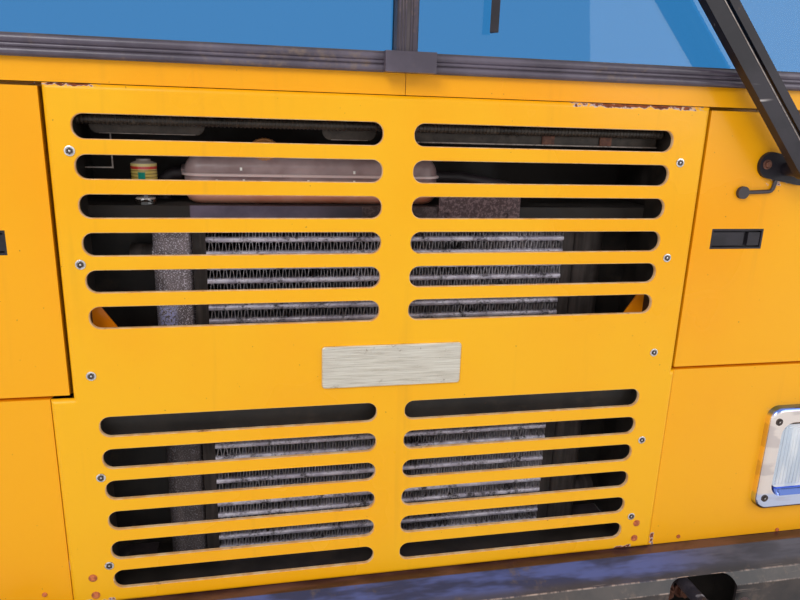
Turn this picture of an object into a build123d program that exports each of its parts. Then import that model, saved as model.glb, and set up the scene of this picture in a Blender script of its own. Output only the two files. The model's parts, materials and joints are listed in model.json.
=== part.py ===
from build123d import *
from math import cos, radians, sin
import os

os.makedirs("parts", exist_ok=True)

# Millimetres. X runs to the right as seen from the front, Y runs back along the chassis, Z is up.
# The origin is the middle of the bolted joint at the rear ends of the frame rails.

# Body shell
body_width = 2438
corner_radius = 150
side_depth = 394
front_y = -700
panel_proud = 6
sheet = 3
fixed_seam = 1
door_seam = 6
flange_depth = 27
sill_seam = 1
sill_seam_x = 9

# Heights of the seams
bumper_top = 130
door_bottom = 518
sill_bottom = 990
sill_top = 1022
glass_frame_top = 2130
header_top = 2215

# Grille panel: two columns of slots, six rows above the plain band and six below
panel_lower_half = 544
panel_upper_left = 510
panel_upper_right = 538
panel_bend = 8
slot_pitch = 57.15
slot_length = 452
slot_height = 37
slot_end_radius = 17
slot_inner_x = 24
slot_rows = 6
upper_rows_top = 931
lower_rows_top = 462

# Badge plate, left blank
badge_width = 240
badge_height = 74
badge_thick = 5
badge_z = 549
badge_corner = 6

# Access doors
hinge_from_side = 203
hinge_gap = 6
hinge_radius = 6
hinge_pin_radius = 2.5
hinge_clearance = 0.05
hinge_leaf_width = 30
hinge_leaf = 2
knuckle_count = 5
knuckle_gap = 1
frame_band = 25
frame_joint = 1
door_depth = 20
latch_width = 105
latch_height = 36
latch_x = 633
latch_z = 762
latch_depth = 14
latch_clearance = 0.5

# Wall frame
post_width = 24
post_inner_x = 478
post_depth = 60
corner_post_from_side = 197
corner_post_width = 46
corner_post_depth = 40
tube_wall = 4
channel_height = 40
channel_wall = 6
sill_beam_depth = 60
crossbar_height = 66
crossbar_z = 463
crossbar_depth = 34
crossbar_set_back = 63
bulkhead_y = -600

# Frame rails and what joins them
rail_outer_x = 430
rail_height = 230
rail_flange = 76
rail_wall = 8
rail_front_y = -640
plate_thick = 12
plate_width = 112
bolt_spacing_x = 784
bolt_spacing_z = 150
bolt_hole_radius = 11
beam_past_hook = 5
beam_height = 155
beam_depth = 50
crossmember_y = -550
crossmember_depth = 150
crossmember_height = 20

# Headlamps
bezel_width = 278
bezel_height = 226
bezel_thick = 18
bezel_corner = 26
lamp_from_side = 314
lamp_z = 312
lens_width = 200
lens_height = 142
lens_corner = 16
lens_set_back = 4
lens_thick = 24
lamp_fit = 1
lamp_rim = 12
housing_depth = 66
turn_lamp_width = 100
turn_lamp_height = 48
turn_lamp_from_side = 294
turn_lamp_z = 468
turn_lamp_thick = 22

# Bumper section, front to back and top to bottom
bumper_flange = 28
bumper_slope_depth = 50
bumper_slope_drop = 24
bumper_chin_depth = 14
bumper_chin_drop = 46
bumper_height = 300
bumper_lip = 45
bumper_wall = 6
bumper_side_return = 70
hook_x = 618
hook_opening_width = 150
hook_opening_height = 105
hook_opening_top = 106
hook_opening_corner = 30
hook_bar_radius = 13
hook_loop_radius = 42
bracket_width = 80

# Windshields
post_centre_x = 5.5
post_face_width = 33
post_proud = 16
gasket_from_side = 157
gasket_width = 30
gasket_bite = 12
gasket_front_y = -702
gasket_depth = 26
gasket_corner = 60
post_bite = 10
glass_front_y = -690
glass_thick = 6
foot_width = 78
foot_height = 30
foot_x = 11
foot_thick = 4

# Wipers
pivot_from_hinge = 311
pivot_z = 889
link_spacing = 38
arm_length = 800
arm_width = 30
arm_tip_width = 24
arm_depth = 18
arm_wall = 3
arm_front_y = -752
link_width = 14
link_depth = 10
shaft_radius = 8
pin_radius = 5
running_clearance = 0.05
open_pivot_clearance = 0.5
base_length = 112
base_width = 46
base_thick = 7
base_tilt = 10
tip_plate_thick = 6
tip_gap = 1
blade_offset = 39
blade_length = 813
blade_width = 14
blade_edge_half = 1
blade_glass_gap = 5
bridge_reach = 190
bridge_thick = 3
bridge_width = 9
yoke_reach = 95
claw_depth = 4
hose_radius = 3.5
hose_drop = 20
grommet_radius = 11
grommet_x = 627
grommet_z = 846

# Cooler in front of the radiator
core_left = -306
core_right = 340
core_front_y = -600
core_depth = 56
fin_set_back = 3
core_tubes = 27
core_tube_pitch = 24
core_tube_height = 9
header_width = 22
tank_width = 66
tank_round = 22
pipe_radius = 24
pipe_wall = 3
pipe_reach = 36
pipe_inset = 70

# Radiator with its shroud, and the baffles that close the gaps beside it
radiator_half = 410
radiator_front_y = -540
radiator_depth = 70
radiator_tank_width = 48
radiator_set_back = 9
shroud_edge = 24
shroud_depth = 62
shroud_wall = 4
shroud_round = 40
fan_opening_radius = 272
fan_ring_depth = 22
neck_radius = 23
neck_reach = 44
baffle_lap = 12

# Shelf over the cooler, with the mounting ear that stands on its front edge
shelf_lift = 26
shelf_drop = 24
shelf_depth = 150
shelf_lap = 9
ear_left = 87
ear_width = 148
ear_rise = 36
ear_return = 22
ear_hole_radius = 5
ear_hole_inset = 14
ear_hole_spacing = 108
ear_hole_drop = 14

# Surge tank, cap and filter gauge on the shelf
surge_left = -336
surge_right = 92
surge_height = 84
surge_front_y = -615
surge_depth = 110
surge_round = 26
weld_proud = 4
weld_thick = 4
nub_radius = 11
nub_reach = 10
nub_from_back = 23
cap_x = -205
cap_radius = 29
cap_height = 24
cap_crown = 3
cap_grips = 8
cap_grip_radius = 6
neck_height = 8
gauge_x = -395
gauge_y = -610
gauge_radius = 20
gauge_height = 72
gauge_base = 12
gauge_shoulder = 14
gauge_stem_radius = 9

# Hoses, loom and air flaps
left_hose_reach = 40
right_hose_reach = 170
hose_level_run = 58
hose_fall = 20
coolant_hose_radius = 11
coolant_bend = 22
shelf_hole_clearance = 3
loom_z = 941
loom_radius = 8
flap_thick = 3
flap_y = -650
flap_corner = 14

# Dash behind the glass
dash_depth = 230
dash_thick = 12
dash_lip = 30
vent_length = 260
vent_width = 16
vent_pitch = 430
vent_count = 5

# Worked out from the sizes above
half_width = body_width / 2
hinge_x = half_width - hinge_from_side
corner_post_x = half_width - corner_post_from_side
beam_half = hook_x + 2 * hook_loop_radius + hook_bar_radius + beam_past_hook
lamp_x = half_width - lamp_from_side
turn_lamp_x = half_width - turn_lamp_from_side
gasket_outer_x = half_width - gasket_from_side
pivot_x = hinge_x - pivot_from_hinge
skin_y = front_y + panel_proud
skin_back = skin_y + sheet
seat_y = skin_back + flange_depth
panel_back = front_y + sheet
core_bottom = rail_height / 2 + crossmember_height
core_height = core_tubes * core_tube_pitch
core_top = core_bottom + core_height
shelf_top = core_top + shelf_lift
panel_depth = panel_proud + sheet
door_inner = {"left": panel_upper_left + door_seam, "right": panel_upper_right + door_seam}
door_outer = hinge_x - hinge_gap
door_top = sill_bottom - door_seam
lamp_panel_top = door_bottom - door_seam
channel_bottom = rail_height / 2
channel_top = channel_bottom + channel_height
sill_beam_top = sill_top - fixed_seam
glass_frame_height = glass_frame_top - sill_top
post_left_x = post_centre_x - post_face_width / 2
post_right_x = post_centre_x + post_face_width / 2

# Side by side name and direction along X
sides = [("left", -1), ("right", 1)]


def save(piece, name):
    piece.label = name
    export_step(piece, f"parts/{name}.step")


def facing(y):
    """A sketch plane at this depth that looks out of the front, with its Y up."""
    return Plane.XZ.offset(-y)


def pane_outline(y, outer_x, inner_x, inset, radius):
    """A pane's outline at this depth, rounded at its outer corners and square beside the centre post."""
    with BuildSketch(facing(y), mode=Mode.PRIVATE) as outline:
        with BuildLine():
            edge = FilletPolyline((inner_x, sill_top + inset), (outer_x, sill_top + inset),
                                  (outer_x, glass_frame_top - inset), (inner_x, glass_frame_top - inset),
                                  radius=radius)
            Line(edge @ 1, edge @ 0)
        make_face()
    return outline.sketch


def hollow(width, height, wall):
    """A rectangular tube's section."""
    Rectangle(width, height)
    Rectangle(width - 2 * wall, height - 2 * wall, mode=Mode.SUBTRACT)


def wrapped_skin(inner_x, bottom, top):
    """Right-hand body skin that starts at inner_x, turns the corner and runs back along the side."""
    middle = sheet / 2
    with BuildSketch(Plane.XY.offset(bottom), mode=Mode.PRIVATE) as section:
        with BuildLine():
            across = Line((inner_x, skin_y + middle), (half_width - corner_radius, skin_y + middle))
            bend = JernArc(across @ 1, (1, 0), corner_radius - middle, 90)
            Line(bend @ 1, (half_width - middle, skin_y + side_depth))
        trace(line_width=sheet)
    extrude(section.sketch, amount=top - bottom)


# Frame rails, open to the middle, each with an end plate for the chassis joint
with BuildPart() as rail:
    with BuildSketch(Plane.XZ.offset(plate_thick)):
        with Locations((rail_outer_x - rail_flange / 2, 0)):
            Rectangle(rail_flange, rail_height)
        with Locations((rail_outer_x - rail_wall - rail_flange / 2, 0)):
            Rectangle(rail_flange, rail_height - 2 * rail_wall, mode=Mode.SUBTRACT)
    extrude(amount=-rail_front_y - plate_thick)
    with BuildSketch(Plane.XZ):
        with Locations((bolt_spacing_x / 2, 0)):
            Rectangle(plate_width, rail_height)
        with Locations((bolt_spacing_x / 2, bolt_spacing_z / 2), (bolt_spacing_x / 2, -bolt_spacing_z / 2)):
            Circle(bolt_hole_radius, mode=Mode.SUBTRACT)
    extrude(amount=plate_thick)
save(rail.part, "frame_rail_right")
save(rail.part.mirror(Plane.YZ), "frame_rail_left")

# Bumper beam across the rails' front ends
with BuildPart() as bumper_beam:
    with BuildSketch(Plane.YZ.offset(-beam_half)):
        with Locations((rail_front_y - beam_depth / 2, channel_bottom - beam_height / 2)):
            hollow(beam_depth, beam_height, channel_wall)
    extrude(amount=2 * beam_half)
save(bumper_beam.part, "bumper_beam")

# Crossmember on the rails, a folded channel under the radiator and the cooler
with BuildPart() as crossmember:
    with BuildSketch(Plane.YZ.offset(-rail_outer_x)):
        with Locations((crossmember_y, core_bottom)):
            Rectangle(crossmember_depth, crossmember_height, align=(Align.CENTER, Align.MAX))
        with Locations((crossmember_y, core_bottom - tube_wall)):
            Rectangle(crossmember_depth - 2 * tube_wall, crossmember_height, align=(Align.CENTER, Align.MAX),
                      mode=Mode.SUBTRACT)
    extrude(amount=2 * rail_outer_x)
save(crossmember.part, "radiator_crossmember")

# Lower channel on the beam, behind the bottom edge of the skins
channel_half = half_width - corner_radius - bumper_wall
with BuildPart() as lower_channel:
    with BuildSketch(Plane.YZ.offset(-channel_half)):
        with Locations((skin_back, channel_bottom)):
            Rectangle(post_depth, channel_height, align=(Align.MIN, Align.MIN))
        with Locations((skin_back + channel_wall, channel_bottom + channel_wall)):
            Rectangle(post_depth, channel_height - 2 * channel_wall, align=(Align.MIN, Align.MIN),
                      mode=Mode.SUBTRACT)
    extrude(amount=2 * channel_half)
save(lower_channel.part, "lower_channel")

# Grille posts, which the grille panel is screwed to
with BuildPart() as grille_posts:
    with BuildSketch(Plane.XY.offset(channel_top)):
        with Locations((post_inner_x + post_width / 2, skin_back + post_depth / 2)):
            hollow(post_width, post_depth, tube_wall)
    extrude(amount=sill_bottom - channel_top)
    mirror(about=Plane.YZ)
save(grille_posts.part, "grille_posts")

# Corner posts from the lower channel to the header
with BuildPart() as corner_posts:
    with BuildSketch(Plane.XY.offset(channel_top)):
        with Locations((corner_post_x + corner_post_width / 2, seat_y + corner_post_depth / 2)):
            hollow(corner_post_width, corner_post_depth, tube_wall)
    extrude(amount=glass_frame_top - channel_top)
    mirror(about=Plane.YZ)
save(corner_posts.part, "corner_posts")

# Sill beam between the corner posts, and header beam on top of them
with BuildPart() as sill_beam:
    with BuildSketch(Plane.YZ.offset(-corner_post_x)):
        with Locations((skin_back + sill_beam_depth / 2, (sill_bottom + sill_beam_top) / 2)):
            hollow(sill_beam_depth, sill_beam_top - sill_bottom, tube_wall)
    extrude(amount=2 * corner_post_x)
save(sill_beam.part, "sill_beam")

with BuildPart() as header_beam:
    with BuildSketch(Plane.YZ.offset(-half_width + corner_radius)):
        with Locations((skin_back + sill_beam_depth / 2, (glass_frame_top + header_top) / 2)):
            hollow(sill_beam_depth, header_top - glass_frame_top, tube_wall)
    extrude(amount=body_width - 2 * corner_radius)
save(header_beam.part, "header_beam")

# Crossbar between the grille posts, behind the first row of lower slots
with BuildPart() as grille_crossbar:
    with BuildSketch(Plane.YZ.offset(-post_inner_x)):
        with Locations((front_y + crossbar_set_back, crossbar_z)):
            Rectangle(crossbar_depth, crossbar_height, align=(Align.MAX, Align.CENTER))
        with Locations((front_y + crossbar_set_back, crossbar_z)):
            Rectangle(crossbar_depth - tube_wall, crossbar_height - 2 * tube_wall,
                      align=(Align.MAX, Align.CENTER), mode=Mode.SUBTRACT)
    extrude(amount=2 * post_inner_x)
save(grille_crossbar.part, "grille_crossbar")

# Inner bulkheads behind the doors, from the grille posts' line to the corner posts
with BuildPart() as bulkheads:
    with BuildSketch(Plane.XY.offset(channel_top)):
        with BuildLine():
            FilletPolyline((post_inner_x + post_width + sheet / 2, skin_back + post_depth / 2),
                           (post_inner_x + post_width + sheet / 2, bulkhead_y),
                           (corner_post_x + corner_post_width / 2, bulkhead_y),
                           (corner_post_x + corner_post_width / 2, seat_y + corner_post_depth),
                           radius=2 * sheet)
        trace(line_width=sheet)
    extrude(amount=sill_bottom - channel_top)
    mirror(about=Plane.YZ)
save(bulkheads.part, "inner_bulkheads")

# Sill panel, the yellow strip under the windshields, and header panel over them
for name, bottom, top in [
    ("sill_panel", sill_bottom, sill_top),
    ("header_panel", glass_frame_top, header_top),
]:
    with BuildPart() as strip:
        wrapped_skin(0, bottom, top)
        mirror(about=Plane.YZ)
        if name == "sill_panel":
            with BuildSketch(facing(skin_y)):
                with Locations((sill_seam_x, (bottom + top) / 2)):
                    Rectangle(sill_seam, top - bottom)
            extrude(amount=-sheet, mode=Mode.SUBTRACT)
    save(strip.part, name)

# Corner panels beside the doors and pillar panels beside the glass, each with a flange on the corner post
with BuildPart() as corner_panels:
    wrapped_skin(corner_post_x, door_bottom, sill_bottom - fixed_seam)
    with BuildSketch(Plane.XY.offset(door_bottom)):
        with Locations((corner_post_x, skin_back)):
            Rectangle(sheet, flange_depth, align=(Align.MIN, Align.MIN))
    extrude(amount=sill_bottom - fixed_seam - door_bottom)
    mirror(about=Plane.YZ)
save(corner_panels.part, "corner_panels")

with BuildPart() as pillar_panels:
    wrapped_skin(gasket_outer_x + fixed_seam, sill_top + fixed_seam, glass_frame_top - fixed_seam)
    with BuildSketch(Plane.XY.offset(sill_top + fixed_seam)):
        with Locations((gasket_outer_x + fixed_seam, skin_back)):
            Rectangle(sheet, flange_depth, align=(Align.MIN, Align.MIN))
    extrude(amount=glass_frame_top - sill_top - 2 * fixed_seam)
    mirror(about=Plane.YZ)
save(pillar_panels.part, "pillar_panels")

# Lamp panels below the doors, cut for the headlamp and the turn lamp
with BuildPart() as lamp_panel:
    wrapped_skin(panel_lower_half + fixed_seam, bumper_top + fixed_seam, lamp_panel_top)
    with BuildSketch(Plane.XY.offset(lamp_panel_top - sheet)):
        with Locations((panel_lower_half + fixed_seam, skin_back)):
            Rectangle(half_width - corner_radius - panel_lower_half - fixed_seam, flange_depth,
                      align=(Align.MIN, Align.MIN))
    extrude(amount=sheet)
    with BuildSketch(facing(skin_y)):
        with Locations((lamp_x, lamp_z)):
            Rectangle(lens_width + 2 * lamp_fit, lens_height + 2 * lamp_fit)
        with Locations((turn_lamp_x, turn_lamp_z)):
            Rectangle(turn_lamp_width + 2 * lamp_fit - 2 * sheet, turn_lamp_height - 2 * sheet)
    extrude(amount=-sheet, mode=Mode.SUBTRACT)
save(lamp_panel.part, "lamp_panel_right")
save(lamp_panel.part.mirror(Plane.YZ), "lamp_panel_left")

# Grille panel, a shallow pan with rounded edges and two columns of slots
panel_bottom = bumper_top + fixed_seam
panel_top = sill_bottom - fixed_seam
slot_x = slot_inner_x + slot_length / 2
row_span = (slot_rows - 1) * slot_pitch
panel_outline = [
    (-panel_lower_half, panel_bottom),
    (panel_lower_half, panel_bottom),
    (panel_lower_half, lamp_panel_top),
    (panel_upper_right, lamp_panel_top),
    (panel_upper_right, panel_top),
    (-panel_upper_left, panel_top),
    (-panel_upper_left, lamp_panel_top),
    (-panel_lower_half, lamp_panel_top),
]
with BuildPart() as grille_panel:
    with BuildSketch(facing(front_y)):
        Polygon(*panel_outline, align=None)
    extrude(amount=-panel_depth)
    fillet(grille_panel.faces().sort_by(Axis.Y)[0].edges(), panel_bend)
    with BuildPart(mode=Mode.PRIVATE) as panel_hollow:
        with BuildSketch(facing(panel_back)):
            Polygon(*panel_outline, align=None)
            offset(amount=-sheet, kind=Kind.INTERSECTION)
        extrude(amount=-panel_depth)
        fillet(panel_hollow.faces().sort_by(Axis.Y)[0].edges(), panel_bend - sheet)
    add(panel_hollow.part, mode=Mode.SUBTRACT)
    with BuildSketch(facing(front_y)):
        for top_row in (upper_rows_top, lower_rows_top):
            with Locations((0, top_row - row_span / 2)):
                with GridLocations(2 * slot_x, slot_pitch, 2, slot_rows):
                    RectangleRounded(slot_length, slot_height, slot_end_radius)
    extrude(amount=-panel_depth, mode=Mode.SUBTRACT)
save(grille_panel.part, "grille_panel")

# Blank badge plate
with BuildPart() as badge_plate:
    with BuildSketch(facing(front_y)):
        with Locations((0, badge_z)):
            RectangleRounded(badge_width, badge_height, badge_corner)
    extrude(amount=badge_thick)
    chamfer(badge_plate.faces().sort_by(Axis.Y)[0].edges(), badge_thick / 4)
save(badge_plate.part, "badge_plate")

# Access doors: folded pans hinged at their outer edge, each with the hinge's moving knuckles
door_height = door_top - door_bottom
knuckle_length = (door_height - (knuckle_count - 1) * knuckle_gap) / knuckle_count
knuckle_step = knuckle_length + knuckle_gap
hinge_y = skin_y - hinge_radius
leaf_reach = hinge_radius + hinge_leaf_width
for side, direction in sides:
    inner = door_inner[side]
    with BuildPart() as door:
        with BuildSketch(facing(skin_y)):
            with Locations(((inner + door_outer) / 2, (door_bottom + door_top) / 2)):
                Rectangle(door_outer - inner, door_height)
        extrude(amount=-door_depth)
        with BuildSketch(facing(skin_back)):
            with Locations(((inner + door_outer) / 2, (door_bottom + door_top) / 2)):
                Rectangle(door_outer - inner - 2 * sheet, door_height - 2 * sheet)
        extrude(amount=-door_depth, mode=Mode.SUBTRACT)
        with BuildSketch(facing(skin_y)):
            with Locations((latch_x, latch_z)):
                Rectangle(latch_width + 2 * latch_clearance, latch_height + 2 * latch_clearance)
        extrude(amount=-sheet, mode=Mode.SUBTRACT)
        for knuckle in range(1, knuckle_count, 2):
            with BuildSketch(Plane.XY.offset(door_bottom + knuckle * knuckle_step)):
                with Locations((hinge_x, hinge_y)):
                    Circle(hinge_radius)
                with Locations((hinge_x, skin_y)):
                    Rectangle(leaf_reach, hinge_leaf, align=(Align.MAX, Align.MAX))
                with Locations((hinge_x, hinge_y)):
                    Circle(hinge_pin_radius + hinge_clearance, mode=Mode.SUBTRACT)
            extrude(amount=knuckle_length)
    turned = door.part if direction > 0 else door.part.mirror(Plane.YZ)
    save(turned, f"access_door_{side}")

# Door frames: strips behind each door's edges, on the posts, the sill beam and the lamp panel's flange
frame_y = skin_back + post_depth / 2 - sheet
frame_inner_x = post_inner_x + post_width
frame_bottom = lamp_panel_top - sheet
with BuildPart() as door_frames:
    with BuildSketch(facing(frame_y)):
        with Locations((frame_inner_x, frame_bottom)):
            Rectangle(frame_band, sill_bottom - frame_bottom, align=(Align.MIN, Align.MIN))
        with Locations((corner_post_x, frame_bottom), (corner_post_x, sill_bottom - frame_band)):
            Rectangle(corner_post_x - frame_inner_x - frame_band - frame_joint, frame_band,
                      align=(Align.MAX, Align.MIN))
    extrude(amount=-sheet)
    mirror(about=Plane.YZ)
save(door_frames.part, "door_frames")

# Fixed hinge leaves on the corner panels, with their pins
with BuildPart() as door_hinges:
    for knuckle in range(0, knuckle_count, 2):
        with BuildSketch(Plane.XY.offset(door_bottom + knuckle * knuckle_step)):
            with Locations((hinge_x, hinge_y)):
                Circle(hinge_radius)
            with Locations((hinge_x, skin_y)):
                Rectangle(leaf_reach, hinge_leaf, align=(Align.MIN, Align.MAX))
        extrude(amount=knuckle_length)
    with BuildSketch(Plane.XY.offset(door_bottom)):
        with Locations((hinge_x, hinge_y)):
            Circle(hinge_pin_radius)
    extrude(amount=door_height)
    mirror(about=Plane.YZ)
save(door_hinges.part, "door_hinges")

# Flush latches: a black dish with a paddle and a square button at its outer end
with BuildPart() as latch:
    with BuildSketch(facing(skin_y)):
        with Locations((latch_x, latch_z)):
            Rectangle(latch_width + 2 * latch_clearance, latch_height + 2 * latch_clearance)
    extrude(amount=-latch_depth)
    with BuildSketch(facing(skin_y)):
        with Locations((latch_x, latch_z)):
            Rectangle(latch_width - 2 * sheet, latch_height - 2 * sheet)
    extrude(amount=-latch_depth / 2, mode=Mode.SUBTRACT)
    with BuildSketch(facing(skin_y)):
        with Locations((latch_x - latch_height / 2, latch_z)):
            Rectangle(latch_width - latch_height - 2 * sheet, latch_height - 4 * sheet)
        with Locations((latch_x + (latch_width - latch_height) / 2, latch_z)):
            Rectangle(latch_height - 4 * sheet, latch_height - 4 * sheet)
    extrude(amount=-latch_depth)
save(latch.part, "door_latch_right")
save(latch.part.mirror(Plane.YZ), "door_latch_left")

# Headlamps: chrome bezel, sealed beam lens with its housing behind the panel
with BuildPart() as lamp_bezels:
    with BuildSketch(facing(skin_y)):
        with Locations((lamp_x, lamp_z)):
            RectangleRounded(bezel_width, bezel_height, bezel_corner)
    extrude(amount=bezel_thick)
    fillet(lamp_bezels.faces().sort_by(Axis.Y)[0].edges(), bezel_thick / 2)
    with BuildSketch(facing(skin_y)):
        with Locations((lamp_x, lamp_z)):
            RectangleRounded(lens_width + 2 * lamp_fit, lens_height + 2 * lamp_fit, lens_corner + lamp_fit)
    extrude(amount=bezel_thick, taper=-30, mode=Mode.SUBTRACT)
    mirror(about=Plane.YZ)
save(lamp_bezels.part, "lamp_bezels")

with BuildPart() as headlamps:
    with BuildSketch(facing(skin_y - lens_set_back)):
        with Locations((lamp_x, lamp_z)):
            RectangleRounded(lens_width, lens_height, lens_corner)
    extrude(amount=-lens_thick)
    with BuildSketch(facing(skin_back)):
        with Locations((lamp_x, lamp_z)):
            RectangleRounded(lens_width + 2 * lamp_rim, lens_height + 2 * lamp_rim, lens_corner)
    extrude(amount=-sheet)
    with BuildSketch(facing(skin_y - lens_set_back + lens_thick)):
        with Locations((lamp_x, lamp_z)):
            RectangleRounded(lens_width - 2 * lens_corner, lens_height - 2 * lens_corner, lens_corner)
    extrude(amount=-housing_depth, taper=20)
    mirror(about=Plane.YZ)
save(headlamps.part, "headlamps")

with BuildPart() as turn_lamps:
    with BuildSketch(facing(skin_y)):
        with Locations((turn_lamp_x, turn_lamp_z)):
            Rectangle(turn_lamp_width, turn_lamp_height)
    extrude(amount=turn_lamp_thick)
    fillet(turn_lamps.faces().sort_by(Axis.Y)[0].edges(), sheet)
    mirror(about=Plane.YZ)
save(turn_lamps.part, "turn_lamps")

# Bumper: one folded section swept round the front corners, with openings for the tow hooks
bumper_back_y = skin_back
slope_y = bumper_back_y - bumper_flange
chin_y = slope_y - bumper_slope_depth
face_y = chin_y - bumper_chin_depth
bumper_bottom = bumper_top - bumper_height
with BuildPart() as bumper:
    with BuildLine() as bumper_path:
        FilletPolyline((-half_width + bumper_wall, bumper_back_y + corner_radius + bumper_side_return),
                       (-half_width + bumper_wall, bumper_back_y),
                       (half_width - bumper_wall, bumper_back_y),
                       (half_width - bumper_wall, bumper_back_y + corner_radius + bumper_side_return),
                       radius=corner_radius)
    with BuildSketch(Plane.YZ):
        with BuildLine():
            Polyline((bumper_back_y, bumper_top),
                     (slope_y, bumper_top),
                     (chin_y, bumper_top - bumper_slope_drop),
                     (face_y, bumper_top - bumper_chin_drop),
                     (face_y, bumper_bottom),
                     (face_y + bumper_lip, bumper_bottom),
                     (face_y + bumper_lip, bumper_bottom + bumper_wall),
                     (face_y + bumper_wall, bumper_bottom + bumper_wall),
                     (face_y + bumper_wall, bumper_top - bumper_chin_drop - bumper_wall / 4),
                     (chin_y + bumper_wall, bumper_top - bumper_slope_drop - bumper_wall / 2),
                     (slope_y, bumper_top - bumper_wall),
                     (bumper_back_y, bumper_top - bumper_wall), close=True)
        make_face()
    sweep(path=bumper_path.wires()[0])
    with BuildSketch(facing(face_y - bumper_wall)):
        for direction in (-1, 1):
            with Locations((direction * hook_x, hook_opening_top)):
                RectangleRounded(hook_opening_width, hook_opening_height, hook_opening_corner,
                                 align=(Align.CENTER, Align.MAX))
    extrude(amount=-2 * bumper_wall - bumper_slope_depth, mode=Mode.SUBTRACT)
save(bumper.part, "bumper")

# Bumper brackets between the beam and the bumper's face, in line with the rails
beam_front_y = rail_front_y - beam_depth
bracket_reach = beam_front_y - face_y - bumper_wall
with BuildPart() as bumper_brackets:
    with BuildSketch(facing(beam_front_y)):
        with Locations((rail_outer_x - bracket_width / 2, channel_bottom - beam_height / 2)):
            hollow(bracket_width, bracket_width, bumper_wall)
    extrude(amount=bracket_reach)
    mirror(about=Plane.YZ)
save(bumper_brackets.part, "bumper_brackets")

# Tow hooks: a plate on the beam, a shank through the opening and a loop that turns outwards
hook_z = hook_opening_top - hook_opening_height / 2
hook_front_y = face_y - 2 * hook_bar_radius
with BuildPart() as tow_hooks:
    with BuildSketch(facing(beam_front_y)):
        with Locations((hook_x - hook_loop_radius, hook_z)):
            Rectangle(2 * hook_loop_radius, hook_opening_height - 2 * hook_bar_radius)
    extrude(amount=bumper_wall)
    with BuildLine() as hook_path:
        shank = Line((hook_x, beam_front_y, hook_z), (hook_x, hook_front_y, hook_z))
        bend = ThreePointArc(shank @ 1, shank @ 1 + Vector(hook_loop_radius, -hook_loop_radius, 0),
                             shank @ 1 + Vector(2 * hook_loop_radius, 0, 0))
        Line(bend @ 1, bend @ 1 + Vector(0, hook_bar_radius, 0))
    with BuildSketch(facing(beam_front_y)):
        with Locations((hook_x, hook_z)):
            Circle(hook_bar_radius)
    sweep(path=hook_path.wires()[0])
    mirror(about=Plane.YZ)
save(tow_hooks.part, "tow_hooks")

# Windshield panes: rubber gaskets on three sides, and the centre post's grooves on the fourth
# Side, X of the outer edge, X of the edge at the post, direction inwards
panes = [
    ("left", -gasket_outer_x, post_left_x, 1),
    ("right", gasket_outer_x, post_right_x, -1),
]
glass_inset = gasket_width - gasket_bite
glass_corner = gasket_corner - glass_inset
with BuildPart() as gaskets:
    for side, outer_x, inner_x, inwards in panes:
        extrude(pane_outline(gasket_front_y, outer_x, inner_x, 0, gasket_corner), amount=-gasket_depth)
    for side, outer_x, inner_x, inwards in panes:
        sight_x = outer_x + inwards * gasket_width
        glass_x = outer_x + inwards * glass_inset
        extrude(pane_outline(gasket_front_y, sight_x, inner_x, gasket_width, gasket_corner - gasket_width),
                amount=-gasket_depth, mode=Mode.SUBTRACT)
        extrude(pane_outline(glass_front_y, glass_x, inner_x, glass_inset, glass_corner),
                amount=-glass_thick, mode=Mode.SUBTRACT)
save(gaskets.part, "windshield_gaskets")

for side, outer_x, inner_x, inwards in panes:
    with BuildPart() as pane:
        extrude(pane_outline(glass_front_y, outer_x + inwards * glass_inset, inner_x + inwards * post_bite,
                             glass_inset, glass_corner), amount=-glass_thick)
    save(pane.part, f"windshield_{side}")

# Centre post with a groove for each pane, and the black foot on the sill in front of it
with BuildPart() as centre_post:
    with BuildSketch(Plane.XY.offset(sill_top)):
        with Locations((post_centre_x, gasket_front_y - post_proud)):
            Rectangle(post_face_width, post_proud + gasket_depth, align=(Align.CENTER, Align.MIN))
    extrude(amount=glass_frame_height)
    fillet(centre_post.faces().sort_by(Axis.Y)[0].edges().filter_by(Axis.Z), post_face_width / 6)
    with BuildSketch(Plane.XY.offset(sill_top + glass_inset)):
        with Locations((post_left_x, glass_front_y), (post_right_x, glass_front_y)):
            Rectangle(2 * post_bite, glass_thick, align=(Align.CENTER, Align.MIN))
    extrude(amount=glass_frame_height - 2 * glass_inset, mode=Mode.SUBTRACT)
save(centre_post.part, "centre_post")

with BuildPart() as post_foot:
    with BuildSketch(facing(gasket_front_y)):
        with Locations((foot_x, sill_top)):
            Rectangle(foot_width, foot_height, align=(Align.CENTER, Align.MIN))
        with Locations((post_centre_x, sill_top)):
            Rectangle(post_face_width, foot_height, align=(Align.CENTER, Align.MIN), mode=Mode.SUBTRACT)
    extrude(amount=post_proud)
    with BuildSketch(facing(gasket_front_y - post_proud)):
        with Locations((foot_x, sill_top)):
            Rectangle(foot_width, foot_height, align=(Align.CENTER, Align.MIN))
    extrude(amount=foot_thick)
save(post_foot.part, "post_foot")

# Wipers: on each door a base plate with two pivots, and two parallel arms that keep the blade upright
arm_back_y = arm_front_y + arm_depth
link_front_y = (arm_front_y + arm_back_y - link_depth) / 2
plate_front_y = arm_back_y + tip_gap
plate_back_y = plate_front_y + tip_plate_thick
blade_back_y = glass_front_y - blade_glass_gap
pin_front_y = arm_front_y - tip_gap
claw_y = blade_back_y - blade_width + claw_depth
yoke_y = (plate_back_y + claw_y) / 2
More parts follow.
